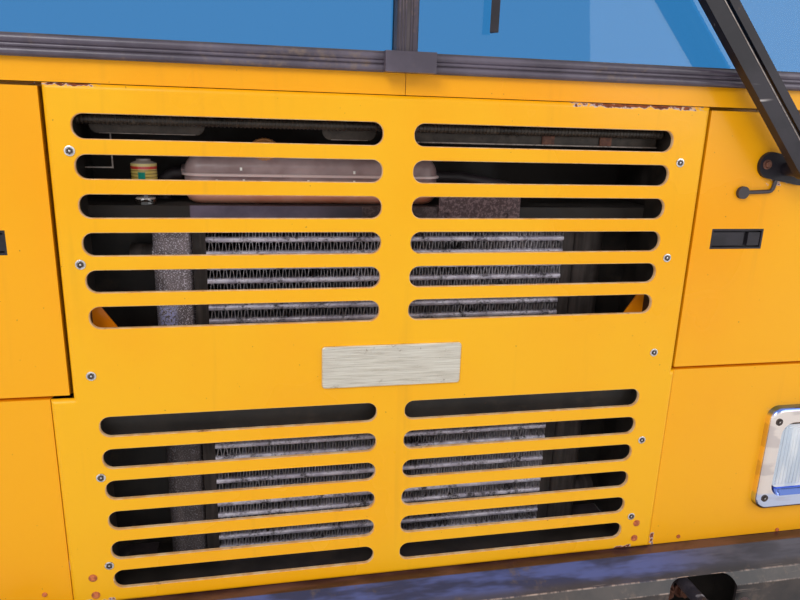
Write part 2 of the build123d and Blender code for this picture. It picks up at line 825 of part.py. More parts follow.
# Side, direction of the base plate, lean of the arms from upright towards +X in degrees
wipers = [
    ("left", -1, -18),
    ("right", 1, -41),
]
for side, direction, lean in wipers:
    pivot = (direction * pivot_x, pivot_z)
    second = (direction * pivot_x + link_spacing, pivot_z)
    along = Vector(sin(radians(lean)), 0, cos(radians(lean)))
    tip = (pivot[0] + arm_length * along.X, pivot[1] + arm_length * along.Z)
    second_tip = (tip[0] + link_spacing, tip[1])
    blade_x = tip[0] - blade_offset
    with BuildPart() as base:
        with BuildSketch(facing(skin_y)):
            with Locations(Location((pivot[0], pivot[1], 0), (0, 0, -direction * base_tilt))):
                SlotOverall(base_length, base_width)
        extrude(amount=base_thick)
        for centre, radius in [(pivot, shaft_radius), (second, pin_radius)]:
            with BuildSketch(facing(skin_y)):
                with Locations(centre):
                    Circle(radius + tube_wall)
            extrude(amount=skin_y - arm_back_y - tip_gap)
            with BuildSketch(facing(skin_y)):
                with Locations(centre):
                    Circle(radius)
            extrude(amount=skin_y - pin_front_y)
    save(base.part, f"wiper_base_{side}")

    middle = arm_length / 2
    with BuildPart() as arm:
        lengthwise = Plane(origin=(pivot[0], arm_back_y, pivot[1]), x_dir=along, z_dir=(0, -1, 0))
        with BuildSketch(lengthwise):
            Circle(arm_width / 2)
            with Locations((arm_length, 0)):
                Circle(arm_tip_width / 2)
            make_hull()
        extrude(amount=arm_depth)
        with BuildSketch(lengthwise):
            with Locations((arm_width, 0)):
                Circle(arm_width / 2 - arm_wall)
            with Locations((arm_length - arm_tip_width, 0)):
                Circle(arm_tip_width / 2 - arm_wall)
            make_hull()
        extrude(amount=arm_depth - arm_wall, mode=Mode.SUBTRACT)
        with BuildSketch(lengthwise):
            Circle(shaft_radius + running_clearance)
            with Locations((arm_length, 0)):
                Circle(pin_radius + running_clearance)
        extrude(amount=arm_depth, mode=Mode.SUBTRACT)
    save(arm.part, f"wiper_arm_{side}")

    with BuildPart() as link:
        lengthwise = Plane(origin=(second[0], link_front_y + link_depth, second[1]), x_dir=along,
                           z_dir=(0, -1, 0))
        with BuildSketch(lengthwise):
            with Locations((middle, 0)):
                SlotCenterToCenter(arm_length, link_width)
            Circle(pin_radius + running_clearance, mode=Mode.SUBTRACT)
            with Locations((arm_length, 0)):
                Circle(pin_radius + open_pivot_clearance, mode=Mode.SUBTRACT)
        extrude(amount=link_depth)
    save(link.part, f"wiper_link_{side}")

    with BuildPart() as blade:
        with BuildSketch(facing(plate_back_y)):
            with Locations(((blade_x + second_tip[0]) / 2, tip[1])):
                SlotOverall(blade_offset + link_spacing + 2 * blade_width, 2 * blade_width)
        extrude(amount=tip_plate_thick)
        for centre in (tip, second_tip):
            with BuildSketch(facing(plate_back_y)):
                with Locations(centre):
                    Circle(pin_radius)
            extrude(amount=plate_back_y - pin_front_y)
        with BuildSketch(facing(plate_back_y)):
            with Locations((blade_x, tip[1])):
                Circle(blade_width / 2)
        extrude(amount=plate_back_y - blade_back_y)
        with BuildSketch(Plane.XY.offset(tip[1] - blade_length / 2)):
            with BuildLine():
                Polyline((blade_x - blade_edge_half, blade_back_y),
                         (blade_x + blade_edge_half, blade_back_y),
                         (blade_x + blade_width / 2, blade_back_y - blade_width),
                         (blade_x - blade_width / 2, blade_back_y - blade_width), close=True)
            make_face()
        extrude(amount=blade_length)
        for centre_z, reach, low_y, high_y in [
            (tip[1], bridge_reach, plate_back_y - bridge_thick / 2, yoke_y),
            (tip[1] - bridge_reach, yoke_reach, yoke_y - bridge_thick / 2, claw_y),
            (tip[1] + bridge_reach, yoke_reach, yoke_y - bridge_thick / 2, claw_y),
        ]:
            with BuildSketch(Plane.YZ.offset(blade_x - bridge_width / 2)):
                with BuildLine():
                    back = ThreePointArc((high_y, centre_z - reach), (low_y + bridge_thick, centre_z),
                                         (high_y, centre_z + reach))
                    Line(back @ 1, back @ 1 - Vector(bridge_thick, 0))
                    front = ThreePointArc((high_y - bridge_thick, centre_z + reach), (low_y, centre_z),
                                          (high_y - bridge_thick, centre_z - reach))
                    Line(front @ 1, back @ 0)
                make_face()
            extrude(amount=bridge_width)
    save(blade.part, f"wiper_blade_{side}")

# Washer hoses from a grommet in the door to the lower edge of the wiper's base plate
hose_y = skin_y - base_thick / 2
edge_way = Vector(cos(radians(base_tilt)), 0, -sin(radians(base_tilt)))
edge_down = Vector(-sin(radians(base_tilt)), 0, -cos(radians(base_tilt)))
hose_end = Vector(pivot_x, hose_y, pivot_z) + edge_down * base_width / 2 - edge_way * base_width / 4
with BuildPart() as hose:
    with BuildSketch(facing(skin_y)):
        with Locations((grommet_x, grommet_z)):
            Circle(grommet_radius)
    extrude(amount=base_thick)
    with BuildLine() as hose_path:
        FilletPolyline((grommet_x, hose_y, grommet_z), hose_end + edge_down * hose_drop, hose_end,
                       radius=hose_drop / 2)
    with BuildSketch(Plane(origin=hose_end, z_dir=edge_down)):
        Circle(hose_radius)
    sweep(path=hose_path.wires()[0])
save(hose.part, "washer_hose_right")
save(hose.part.mirror(Plane.YZ), "washer_hose_left")

# Cooler core: a row of flat tubes that stand proud of the fins between two header plates
core_middle = (core_left + core_right) / 2
with BuildPart() as cooler_core:
    with BuildSketch(facing(core_front_y + fin_set_back)):
        with Locations((core_middle, core_bottom + core_height / 2)):
            Rectangle(core_right - core_left, core_height)
    extrude(amount=-(core_depth - 2 * fin_set_back))
    with BuildSketch(facing(core_front_y)):
        with Locations((core_middle, core_bottom + core_height / 2)):
            with GridLocations(0, core_tube_pitch, 1, core_tubes):
                Rectangle(core_right - core_left, core_tube_height)
    extrude(amount=-core_depth)
save(cooler_core.part, "cooler_core")

# Cast side tanks with their header plates against the core, each with an open air pipe at its outer side
with BuildPart() as cooler_tanks:
    for edge, direction, pipe_z in [
        (core_left, -1, core_top - pipe_inset),
        (core_right, 1, core_bottom + pipe_inset),
    ]:
        with BuildSketch(Plane.XY.offset(core_bottom)):
            with Locations((edge + direction * header_width / 2, core_front_y + core_depth / 2)):
                Rectangle(header_width, core_depth - 2 * fin_set_back)
        extrude(amount=core_height)
        outer_x = edge + direction * (header_width + tank_width)
        with BuildSketch(Plane.XY.offset(core_bottom)):
            with Locations((outer_x - direction * tank_width / 2, core_front_y + core_depth / 2)):
                RectangleRounded(tank_width, core_depth, tank_round)
        extrude(amount=core_height)
        with BuildSketch(Plane.YZ.offset(outer_x - direction * tank_round)):
            with Locations((core_front_y + core_depth / 2, pipe_z)):
                Circle(pipe_radius)
        extrude(amount=direction * (tank_round + pipe_reach))
        with BuildSketch(Plane.YZ.offset(outer_x)):
            with Locations((core_front_y + core_depth / 2, pipe_z)):
                Circle(pipe_radius - pipe_wall)
        extrude(amount=direction * pipe_reach, mode=Mode.SUBTRACT)
save(cooler_tanks.part, "cooler_tanks")

# Radiator behind the cooler: a core between rounded side tanks, with a hose neck at the back of each
radiator_back_y = radiator_front_y + radiator_depth
radiator_middle_y = radiator_front_y + radiator_depth / 2
with BuildPart() as radiator:
    with BuildSketch(Plane.YZ.offset(-radiator_half + radiator_tank_width / 2)):
        with Locations((radiator_middle_y, core_bottom + core_height / 2)):
            Rectangle(radiator_depth - 2 * radiator_set_back, core_height)
    extrude(amount=2 * radiator_half - radiator_tank_width)
    for direction, neck_z in [(-1, core_top - pipe_inset), (1, core_bottom + pipe_inset)]:
        tank_x = direction * (radiator_half - radiator_tank_width / 2)
        with BuildSketch(Plane.XY.offset(core_bottom)):
            with Locations((tank_x, radiator_middle_y)):
                Rectangle(radiator_tank_width, radiator_depth)
        extrude(amount=core_height)
        with BuildSketch(facing(radiator_back_y)):
            with Locations((tank_x, neck_z)):
                Circle(neck_radius)
        extrude(amount=-neck_reach)
        with BuildSketch(facing(radiator_back_y)):
            with Locations((tank_x, neck_z)):
                Circle(neck_radius - pipe_wall)
        extrude(amount=-neck_reach, mode=Mode.SUBTRACT)
save(radiator.part, "radiator")

# Fan shroud on the back of the core, with a ring round its opening
shroud_front_y = radiator_back_y - radiator_set_back
shroud_half = radiator_half - radiator_tank_width - shroud_edge
shroud_height = core_height - 2 * shroud_edge
with BuildPart() as fan_shroud:
    with BuildSketch(facing(shroud_front_y)):
        with Locations((0, core_bottom + core_height / 2)):
            RectangleRounded(2 * shroud_half, shroud_height, shroud_round)
    extrude(amount=-shroud_depth)
    fillet(fan_shroud.faces().sort_by(Axis.Y)[-1].edges(), shroud_edge)
    offset(amount=-shroud_wall, openings=fan_shroud.faces().sort_by(Axis.Y)[0])
    with BuildSketch(facing(shroud_front_y + shroud_depth)):
        with Locations((0, core_bottom + core_height / 2)):
            Circle(fan_opening_radius + shroud_wall)
    extrude(amount=-fan_ring_depth)
    with BuildSketch(facing(shroud_front_y + shroud_wall)):
        with Locations((0, core_bottom + core_height / 2)):
            Circle(fan_opening_radius)
    extrude(amount=-shroud_depth - fan_ring_depth, mode=Mode.SUBTRACT)
save(fan_shroud.part, "fan_shroud")

# Baffles from the radiator's front face to the inner bulkheads, so that air can't pass beside it
baffle_outer_x = post_inner_x + post_width + sheet / 2
with BuildPart() as baffles:
    with BuildSketch(Plane.XY.offset(core_bottom)):
        with BuildLine():
            Polyline((radiator_half - baffle_lap, radiator_front_y - sheet / 2),
                     (baffle_outer_x, radiator_front_y - sheet / 2),
                     (baffle_outer_x, bulkhead_y + sheet / 2))
        trace(line_width=sheet)
    extrude(amount=shelf_top - sheet - core_bottom)
    mirror(about=Plane.YZ)
save(baffles.part, "radiator_baffles")

# Shelf over the cooler: a front flange, a shelf, closed ends, a back wall and a flange under the sill beam
shelf_front_y = skin_back + post_depth
shelf_half = post_inner_x + post_width
hose_y = surge_front_y + surge_depth - nub_from_back
left_drop_x = surge_left - left_hose_reach
right_drop_x = surge_right + right_hose_reach
ear_height = ear_rise + shelf_drop
with BuildPart() as tank_shelf:
    with BuildSketch(Plane.YZ.offset(-shelf_half)):
        with BuildLine():
            Polyline((shelf_front_y + sheet / 2, shelf_top - shelf_drop),
                     (shelf_front_y + sheet / 2, shelf_top - sheet / 2),
                     (shelf_front_y + shelf_depth, shelf_top - sheet / 2),
                     (shelf_front_y + shelf_depth, sill_bottom - sheet / 2),
                     (shelf_front_y - shelf_lap, sill_bottom - sheet / 2))
        trace(line_width=sheet)
    extrude(amount=2 * shelf_half)
    with BuildSketch(Plane.XY.offset(sill_bottom)):
        with Locations((-shelf_half, shelf_front_y), (shelf_half, shelf_front_y)):
            Rectangle(2 * post_width, 2 * shelf_lap, align=(Align.CENTER, Align.MAX))
    extrude(amount=-sheet, mode=Mode.SUBTRACT)
    for side, direction in sides:
        with BuildSketch(Plane.YZ.offset(direction * shelf_half)):
            with Locations((shelf_front_y, shelf_top - sheet)):
                Rectangle(shelf_depth, sill_bottom - shelf_top + sheet, align=(Align.MIN, Align.MIN))
        extrude(amount=-direction * sheet)
    with BuildSketch(Plane.XY.offset(shelf_top)):
        with Locations((left_drop_x, hose_y), (right_drop_x, hose_y)):
            Circle(coolant_hose_radius + shelf_hole_clearance)
    extrude(amount=-sheet, mode=Mode.SUBTRACT)
    with BuildSketch(facing(shelf_front_y)):
        with Locations((ear_left, shelf_top - shelf_drop)):
            Rectangle(ear_width, ear_height, align=(Align.MIN, Align.MIN))
        for hole_x in (0, ear_hole_spacing):
            with Locations((ear_left + ear_hole_inset + hole_x, shelf_top - ear_hole_drop)):
                Circle(ear_hole_radius, mode=Mode.SUBTRACT)
    extrude(amount=sheet)
    with BuildSketch(Plane.XY.offset(shelf_top + ear_rise)):
        with Locations((ear_left, shelf_front_y - sheet)):
            Rectangle(ear_width, ear_return, align=(Align.MIN, Align.MIN))
    extrude(amount=-sheet)
save(tank_shelf.part, "tank_shelf")

# Surge tank on the shelf: two moulded halves with a welded flange between them, a filler neck and hose nubs
surge_middle_y = surge_front_y + surge_depth / 2
nub_z = shelf_top + surge_height / 2
with BuildPart() as surge_tank:
    with BuildSketch(Plane.YZ.offset(surge_left)):
        with Locations((surge_middle_y, nub_z)):
            RectangleRounded(surge_depth, surge_height, surge_round)
    extrude(amount=surge_right - surge_left)
    fillet(surge_tank.faces().sort_by(Axis.X)[0].edges() + surge_tank.faces().sort_by(Axis.X)[-1].edges(),
           surge_round / 2)
    with BuildSketch(Plane.XY.offset(nub_z - weld_thick / 2)):
        with Locations(((surge_left + surge_right) / 2, surge_middle_y)):
            RectangleRounded(surge_right - surge_left + 2 * weld_proud, surge_depth + 2 * weld_proud,
                             surge_round / 2)
    extrude(amount=weld_thick)
    with BuildSketch(Plane.YZ.offset(surge_left - nub_reach)):
        with Locations((hose_y, nub_z)):
            Circle(nub_radius)
    extrude(amount=surge_right - surge_left + 2 * nub_reach)
    with BuildSketch(Plane.XY.offset(shelf_top + surge_height)):
        with Locations((cap_x, surge_middle_y)):
            Circle(cap_radius - tube_wall)
    extrude(amount=neck_height)
save(surge_tank.part, "surge_tank")

with BuildPart() as surge_cap:
    with BuildSketch(Plane.XY.offset(shelf_top + surge_height + neck_height)):
        with Locations((cap_x, surge_middle_y)):
            Circle(cap_radius)
            with PolarLocations(cap_radius, cap_grips):
                Circle(cap_grip_radius)
    extrude(amount=cap_height)
    with BuildSketch(Plane.XY.offset(shelf_top + surge_height + neck_height + cap_height)):
        with Locations((cap_x, surge_middle_y)):
            Circle(cap_radius - tube_wall)
    extrude(amount=cap_crown)
save(surge_cap.part, "surge_cap")

# Filter gauge on the shelf: a hexagonal foot, a clear jar with a sloping shoulder, and a stem on top
with BuildPart() as filter_gauge:
    with BuildSketch(Plane.XY.offset(shelf_top)):
        with Locations((gauge_x, gauge_y)):
            RegularPolygon(gauge_radius, 6, major_radius=False)
    extrude(amount=gauge_base)
    with BuildSketch(Plane.XZ.offset(-gauge_y)):
        with BuildLine():
            Polyline((gauge_x, shelf_top + gauge_base),
                     (gauge_x + gauge_radius, shelf_top + gauge_base),
                     (gauge_x + gauge_radius, shelf_top + gauge_height - gauge_shoulder),
                     (gauge_x + gauge_stem_radius, shelf_top + gauge_height - gauge_shoulder / 2),
                     (gauge_x + gauge_stem_radius, shelf_top + gauge_height),
                     (gauge_x, shelf_top + gauge_height), close=True)
        make_face()
    revolve(axis=Axis((gauge_x, gauge_y, 0), (0, 0, 1)))
save(filter_gauge.part, "filter_gauge")

# Coolant hoses from the surge tank's nubs down through the shelf to the top of the radiator
hose_routes = [
    [(surge_left - nub_reach, nub_z),
     (left_drop_x, nub_z),
     (left_drop_x, core_top)],
    [(surge_right + nub_reach, nub_z),
     (surge_right + hose_level_run, nub_z),
     (right_drop_x, nub_z - hose_fall),
     (right_drop_x, core_top)],
]
with BuildPart() as coolant_hoses:
    for route in hose_routes:
        with BuildLine(mode=Mode.PRIVATE) as hose_line:
            FilletPolyline([(x, hose_y, z) for x, z in route], radius=coolant_bend)
        with BuildSketch(Plane(origin=hose_line.line @ 0, z_dir=hose_line.line % 0),
                         mode=Mode.PRIVATE) as hose_section:
            Circle(coolant_hose_radius)
        sweep(hose_section.sketch, path=hose_line.wires()[0])
save(coolant_hoses.part, "coolant_hoses")

# Air flaps that hang from the sill beam, in front of the shelf's top flange
# Left edge, right edge and bottom
flaps = [
    (-463, -296, 920),
    (-115, -28, 918),
]
with BuildPart() as air_flaps:
    with BuildSketch(facing(flap_y)):
        for left, right, bottom in flaps:
            with Locations(((left + right) / 2, bottom)):
                Rectangle(right - left, sill_bottom - bottom, align=(Align.CENTER, Align.MIN))
    extrude(amount=-flap_thick)
    fillet(air_flaps.edges().filter_by(Axis.Y).group_by(Axis.Z)[0]
           + air_flaps.edges().filter_by(Axis.Y).group_by(Axis.Z)[1], flap_corner)
save(air_flaps.part, "air_flaps")

# Wiring loom between the grille posts, under the sill beam
with BuildPart() as wiring_loom:
    with BuildSketch(Plane.YZ.offset(-post_inner_x)):
        with Locations((skin_back + post_depth / 2, loom_z)):
            Circle(loom_radius)
    extrude(amount=2 * post_inner_x)
save(wiring_loom.part, "wiring_loom")

# Dash behind the glass, on the sill beam: a slab with defroster vents and a lip at its rear edge
dash_front_y = gasket_front_y + gasket_depth
with BuildPart() as dash_shelf:
    with BuildSketch(Plane.YZ.offset(-corner_post_x)):
        with Locations((dash_front_y, sill_beam_top)):
            Rectangle(dash_depth, dash_thick, align=(Align.MIN, Align.MIN))
        with Locations((dash_front_y + dash_depth, sill_beam_top + dash_thick)):
            Rectangle(dash_thick, dash_lip, align=(Align.MAX, Align.MAX))
    extrude(amount=2 * corner_post_x)
    fillet(dash_shelf.edges().filter_by(Axis.X).group_by(Axis.Z)[-1].sort_by(Axis.Y)[-1], dash_thick / 2)
    with BuildSketch(Plane.XY.offset(sill_beam_top)):
        with Locations((0, dash_front_y + dash_depth / 2)):
            with GridLocations(vent_pitch, 0, vent_count, 1):
                SlotOverall(vent_length, vent_width)
    extrude(amount=dash_thick, mode=Mode.SUBTRACT)
save(dash_shelf.part, "dash_shelf")
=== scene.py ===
import json
import math

import bpy
from mathutils import Matrix, Vector


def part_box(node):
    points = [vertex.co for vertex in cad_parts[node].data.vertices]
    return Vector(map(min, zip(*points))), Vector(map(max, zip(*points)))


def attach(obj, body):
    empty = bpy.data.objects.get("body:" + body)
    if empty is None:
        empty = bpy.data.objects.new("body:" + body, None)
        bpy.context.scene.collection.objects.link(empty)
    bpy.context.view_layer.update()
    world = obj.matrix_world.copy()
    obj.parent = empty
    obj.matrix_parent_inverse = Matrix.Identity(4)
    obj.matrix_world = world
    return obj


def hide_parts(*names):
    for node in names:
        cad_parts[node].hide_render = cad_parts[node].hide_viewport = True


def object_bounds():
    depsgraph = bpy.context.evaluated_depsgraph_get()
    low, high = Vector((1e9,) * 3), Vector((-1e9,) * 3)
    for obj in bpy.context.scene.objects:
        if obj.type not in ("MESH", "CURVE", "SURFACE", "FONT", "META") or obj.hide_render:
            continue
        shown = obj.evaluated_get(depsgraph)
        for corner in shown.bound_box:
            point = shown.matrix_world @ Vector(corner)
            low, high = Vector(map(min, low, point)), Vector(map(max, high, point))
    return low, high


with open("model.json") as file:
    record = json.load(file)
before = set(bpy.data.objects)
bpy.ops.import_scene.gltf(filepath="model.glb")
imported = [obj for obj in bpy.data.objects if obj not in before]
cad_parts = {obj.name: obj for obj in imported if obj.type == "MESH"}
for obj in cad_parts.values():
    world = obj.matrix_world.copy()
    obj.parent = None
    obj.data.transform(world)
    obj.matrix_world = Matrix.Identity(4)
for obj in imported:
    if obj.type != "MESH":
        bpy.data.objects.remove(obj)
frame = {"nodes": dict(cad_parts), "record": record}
boxAtLoad = [list(corner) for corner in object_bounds()]
bpy.ops.object.select_all(action="DESELECT")
nodes = frame["nodes"]
print("stage: frame loaded")

# Camera, at the photograph's place

cameraSettings = {
    "place": (-0.2135, -1.7621, 0.9611),
    "yaw": 0.2073,
    "pitch": 0.268,
    "roll": 0.0324,
    "lens": 30.4,
    "sensorWidth": 36,
    "clip": (0.05, 60),
}


def addCamera(settings):
    yaw, pitch, roll = settings["yaw"], settings["pitch"], settings["roll"]
    ahead = Vector((math.sin(yaw) * math.cos(pitch), math.cos(yaw) * math.cos(pitch), -math.sin(pitch)))
    levelRight = Vector((math.cos(yaw), -math.sin(yaw), 0))
    levelUp = levelRight.cross(ahead)
    right = math.cos(roll) * levelRight + math.sin(roll) * levelUp
    up = math.cos(roll) * levelUp - math.sin(roll) * levelRight
    bpy.ops.object.camera_add(location=settings["place"])
    camera = bpy.context.object
    camera.name = "photoCamera"
    camera.data.lens = settings["lens"]
    camera.data.sensor_width = settings["sensorWidth"]
    camera.data.clip_start, camera.data.clip_end = settings["clip"]
    turned = Matrix.Translation(settings["place"])
    for row in range(3):
        turned[row][0], turned[row][1], turned[row][2] = right[row], up[row], -ahead[row]
    camera.matrix_world = turned
    bpy.context.scene.camera = camera


addCamera(cameraSettings)
print("stage: camera")

# Node helpers for the materials; colours are written without alpha


def plug(tree, value, socket):
    if isinstance(value, bpy.types.NodeSocket):
        tree.links.new(value, socket)
    elif value is not None:
        socket.default_value = (*value, 1) if socket.type == "RGBA" else value


def addNode(tree, kind, result, inputs, **options):
    node = tree.nodes.new(f"ShaderNode{kind}")
    for label, value in options.items():
        setattr(node, label, value)
    for label, value in inputs.items():
        plug(tree, value, node.inputs[label])
    return node.outputs[result]


def addMath(tree, operation, first, second):
    return addNode(tree, "Math", "Value", {0: first, 1: second}, operation=operation)


def times(tree, first, second):
    return addMath(tree, "MULTIPLY", first, second)


def addVectorMath(tree, operation, first, second=None):
    return addNode(tree, "VectorMath", "Vector", {0: first, 1: second}, operation=operation)


def addNoise(tree, vector, scale, detail, roughness):
    inputs = {"Vector": vector, "Scale": scale, "Detail": detail, "Roughness": roughness}
    return addNode(tree, "TexNoise", "Fac", inputs)


def addRange(tree, value, low, high, newLow=0, newHigh=1):
    inputs = {"Value": value, "From Min": low, "From Max": high, "To Min": newLow, "To Max": newHigh}
    return addNode(tree, "MapRange", "Result", inputs, interpolation_type="SMOOTHSTEP")


def addMapping(tree, vector, scale, rotation=(0, 0, 0)):
    return addNode(tree, "Mapping", "Vector", {"Vector": vector, "Scale": scale, "Rotation": rotation})


def addMix(tree, factor, first, second):
    # sockets 6, 7 and 2 are the node's colours
    return addNode(tree, "Mix", 2, {"Factor": factor, 6: first, 7: second}, data_type="RGBA")


def newGroup(name, given, gives):
    group = bpy.data.node_groups.new(name, "ShaderNodeTree")
    for label, value in given.items():
        kind = "NodeSocketVector" if isinstance(value, tuple) else "NodeSocketFloat"
        group.interface.new_socket(name=label, in_out="INPUT", socket_type=kind).default_value = value
    for label in gives:
        kind = "NodeSocketColor" if label == "Color" else "NodeSocketFloat"
        group.interface.new_socket(name=label, in_out="OUTPUT", socket_type=kind)
    return group, group.nodes.new("NodeGroupInput").outputs, group.nodes.new("NodeGroupOutput").inputs


def useGroup(tree, group, **values):
    node = tree.nodes.new("ShaderNodeGroup")
    node.node_tree = group
    for label, value in values.items():
        plug(tree, value, node.inputs[label])
    return node.outputs


# Shared effects: grime, scratches, patches at a place, rust, and fine surface relief


def buildGrime():
    group, given, gives = newGroup("grime", {"Vector": (0, 0, 0), "Scale": 9.0, "Amount": 0.5}, ["Mask"])
    wide = addNoise(group, given["Vector"], given["Scale"], 5, 0.62)
    fine = addNoise(group, given["Vector"], times(group, given["Scale"], 7), 3, 0.6)
    both = addMath(group, "ADD", times(group, wide, 0.65), times(group, fine, 0.35))
    low = addMath(group, "SUBTRACT", 0.78, times(group, given["Amount"], 0.5))
    plug(group, addRange(group, both, low, addMath(group, "ADD", low, 0.16)), gives["Mask"])
    return group


def buildScratches():
    group, given, gives = newGroup("scratches", {"Vector": (0, 0, 0), "Scale": 60.0, "Amount": 0.4}, ["Mask"])
    along = addMapping(group, given["Vector"], (0.05, 1, 1), (0, 0.06, 0.03))
    lines = addNoise(group, along, given["Scale"], 2, 0.7)
    breaks = addNoise(group, given["Vector"], 9, 3, 0.6)
    low = addMath(group, "SUBTRACT", 0.8, times(group, given["Amount"], 0.32))
    lines = addRange(group, lines, low, addMath(group, "ADD", low, 0.05))
    plug(group, times(group, lines, addRange(group, breaks, 0.42, 0.6)), gives["Mask"])
    return group


def buildPatch():
    given = {"Vector": (0, 0, 0), "Centre": (0, 0, 0), "Half": (1, 1, 1), "Softness": 0.35}
    group, given, gives = newGroup("patch", given, ["Mask"])
    away = addVectorMath(group, "SUBTRACT", given["Vector"], given["Centre"])
    share = addVectorMath(group, "DIVIDE", addVectorMath(group, "ABSOLUTE", away), given["Half"])
    x, y, z = [addNode(group, "SeparateXYZ", axis, {"Vector": share}) for axis in "XYZ"]
    most = addMath(group, "MAXIMUM", addMath(group, "MAXIMUM", x, y), z)
    low = addMath(group, "SUBTRACT", 1, given["Softness"])
    plug(group, addRange(group, most, low, 1, 1, 0), gives["Mask"])
    return group


def buildRust():
    group, given, gives = newGroup("rust", {"Vector": (0, 0, 0), "Scale": 60.0}, ["Color", "Height"])
    wide = addNoise(group, given["Vector"], given["Scale"], 6, 0.68)
    fine = addNoise(group, given["Vector"], times(group, given["Scale"], 6), 3, 0.6)
    colour = addMix(group, addRange(group, wide, 0.35, 0.65), (0.11, 0.022, 0.01), (0.34, 0.085, 0.022))
    colour = addMix(group, addRange(group, fine, 0.55, 0.72), colour, (0.05, 0.016, 0.01))
    plug(group, colour, gives["Color"])
    plug(group, times(group, fine, wide), gives["Height"])
    return group


def buildRelief():
    group, given, gives = newGroup("relief", {"Vector": (0, 0, 0), "Scale": 500.0}, ["Height"])
    small = addNoise(group, given["Vector"], given["Scale"], 2, 0.5)
    large = addNoise(group, given["Vector"], times(group, given["Scale"], 0.03), 2, 0.5)
    plug(group, addMath(group, "ADD", times(group, small, 0.3), large), gives["Height"])
    return group


grime = buildGrime()
scratches = buildScratches()
patch = buildPatch()
rust = buildRust()
relief = buildRelief()
print("stage: shared effects")

# Masks and colours are written as lists, and these functions build their nodes.
# A mask is the product of its factors: a number, or a kind with its values, where the last two of
# cloud, streaks, grime and the ranges may be what the mask gives at its ends.
# A colour is three numbers, a mask with the colours where it is 0 and where it is 1, or bands by height.


def addFactor(tree, place, kind, *values):
    if kind == "cloud":  # scale, detail, roughness, and the range that is picked out
        return addRange(tree, addNoise(tree, place, *values[:3]), *values[3:])
    if kind == "streaks":  # a cloud on stretched coordinates
        return addFactor(tree, addMapping(tree, place, values[0]), "cloud", *values[1:])
    if kind == "patch":  # centre, half size, softness
        return useGroup(tree, patch, Vector=place, Centre=values[0], Half=values[1], Softness=values[2])["Mask"]
    if kind == "facingUp":
        place, kind = tree.nodes.new("ShaderNodeNewGeometry").outputs["Normal"], "Z"
    if kind in "XYZ":
        return addRange(tree, addNode(tree, "SeparateXYZ", kind, {"Vector": place}), *values)
    group = {"grime": grime, "scratches": scratches}[kind]  # scale, amount
    mask = useGroup(tree, group, Vector=place, Scale=values[0], Amount=values[1])["Mask"]
    return addRange(tree, mask, 0, 1, *values[2:]) if values[2:] else mask


def addMask(tree, place, factors):
    masks = [addFactor(tree, place, *factor) if isinstance(factor, tuple) else factor for factor in factors]
    mask = masks[0]
    for factor in masks[1:]:
        mask = times(tree, mask, factor)
    return mask


def addBands(tree, place, node, bands):
    ramp = tree.nodes.new("ShaderNodeValToRGB")
    elements = ramp.color_ramp.elements
    ramp.color_ramp.interpolation = "CONSTANT"
    while len(elements) < len(bands):
        elements.new(0.5)
    for element, (position, colour) in zip(elements, bands):
        element.position = position
        element.color = (*colour, 1)
    low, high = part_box(node)
    rise = addMath(tree, "SUBTRACT", addNode(tree, "SeparateXYZ", "Z", {"Vector": place}), low.z)
    plug(tree, addMath(tree, "DIVIDE", rise, high.z - low.z), ramp.inputs["Fac"])
    return ramp.outputs["Color"]


def addColour(tree, place, colour):
    if colour[0] == "bands":
        return addBands(tree, place, *colour[1:])
    if not isinstance(colour[0], list):
        return colour
    mask, first, second = colour
    return addMix(tree, addMask(tree, place, mask), addColour(tree, place, first), addColour(tree, place, second))


finishes = {}


def startFinish(name, settings):
    material = bpy.data.materials.new(name)
    material.use_nodes = True
    tree = material.node_tree
    tree.nodes.clear()
    surface = tree.nodes.new("ShaderNodeBsdfPrincipled")
    output = tree.nodes.new("ShaderNodeOutputMaterial")
    tree.links.new(surface.outputs["BSDF"], output.inputs["Surface"])
    sockets = {
        "Metallic": settings.get("metal", 0), "Coat Weight": settings.get("coat", 0),
        "Coat Roughness": settings.get("coatRough", 0.08), "Specular IOR Level": settings.get("specular", 0.5),
        **settings.get("sockets", {}),
    }
    for label, value in sockets.items():
        surface.inputs[label].default_value = value
    finishes[name] = material
    return tree, surface.inputs, tree.nodes.new("ShaderNodeTexCoord").outputs["Object"]


def endFinish(tree, surface, colour, rough, height=None, strength=0.1):
    plug(tree, colour, surface["Base Color"])
    plug(tree, rough, surface["Roughness"])
    if height is not None:
        inputs = {"Strength": strength, "Distance": 0.001, "Height": height}
        plug(tree, addNode(tree, "Bump", "Normal", inputs), surface["Normal"])


def addRelief(tree, place, scale):
    return useGroup(tree, relief, Vector=place, Scale=scale)["Height"]


# Finishes that share one recipe: a mottled colour under grime, scratches and rust

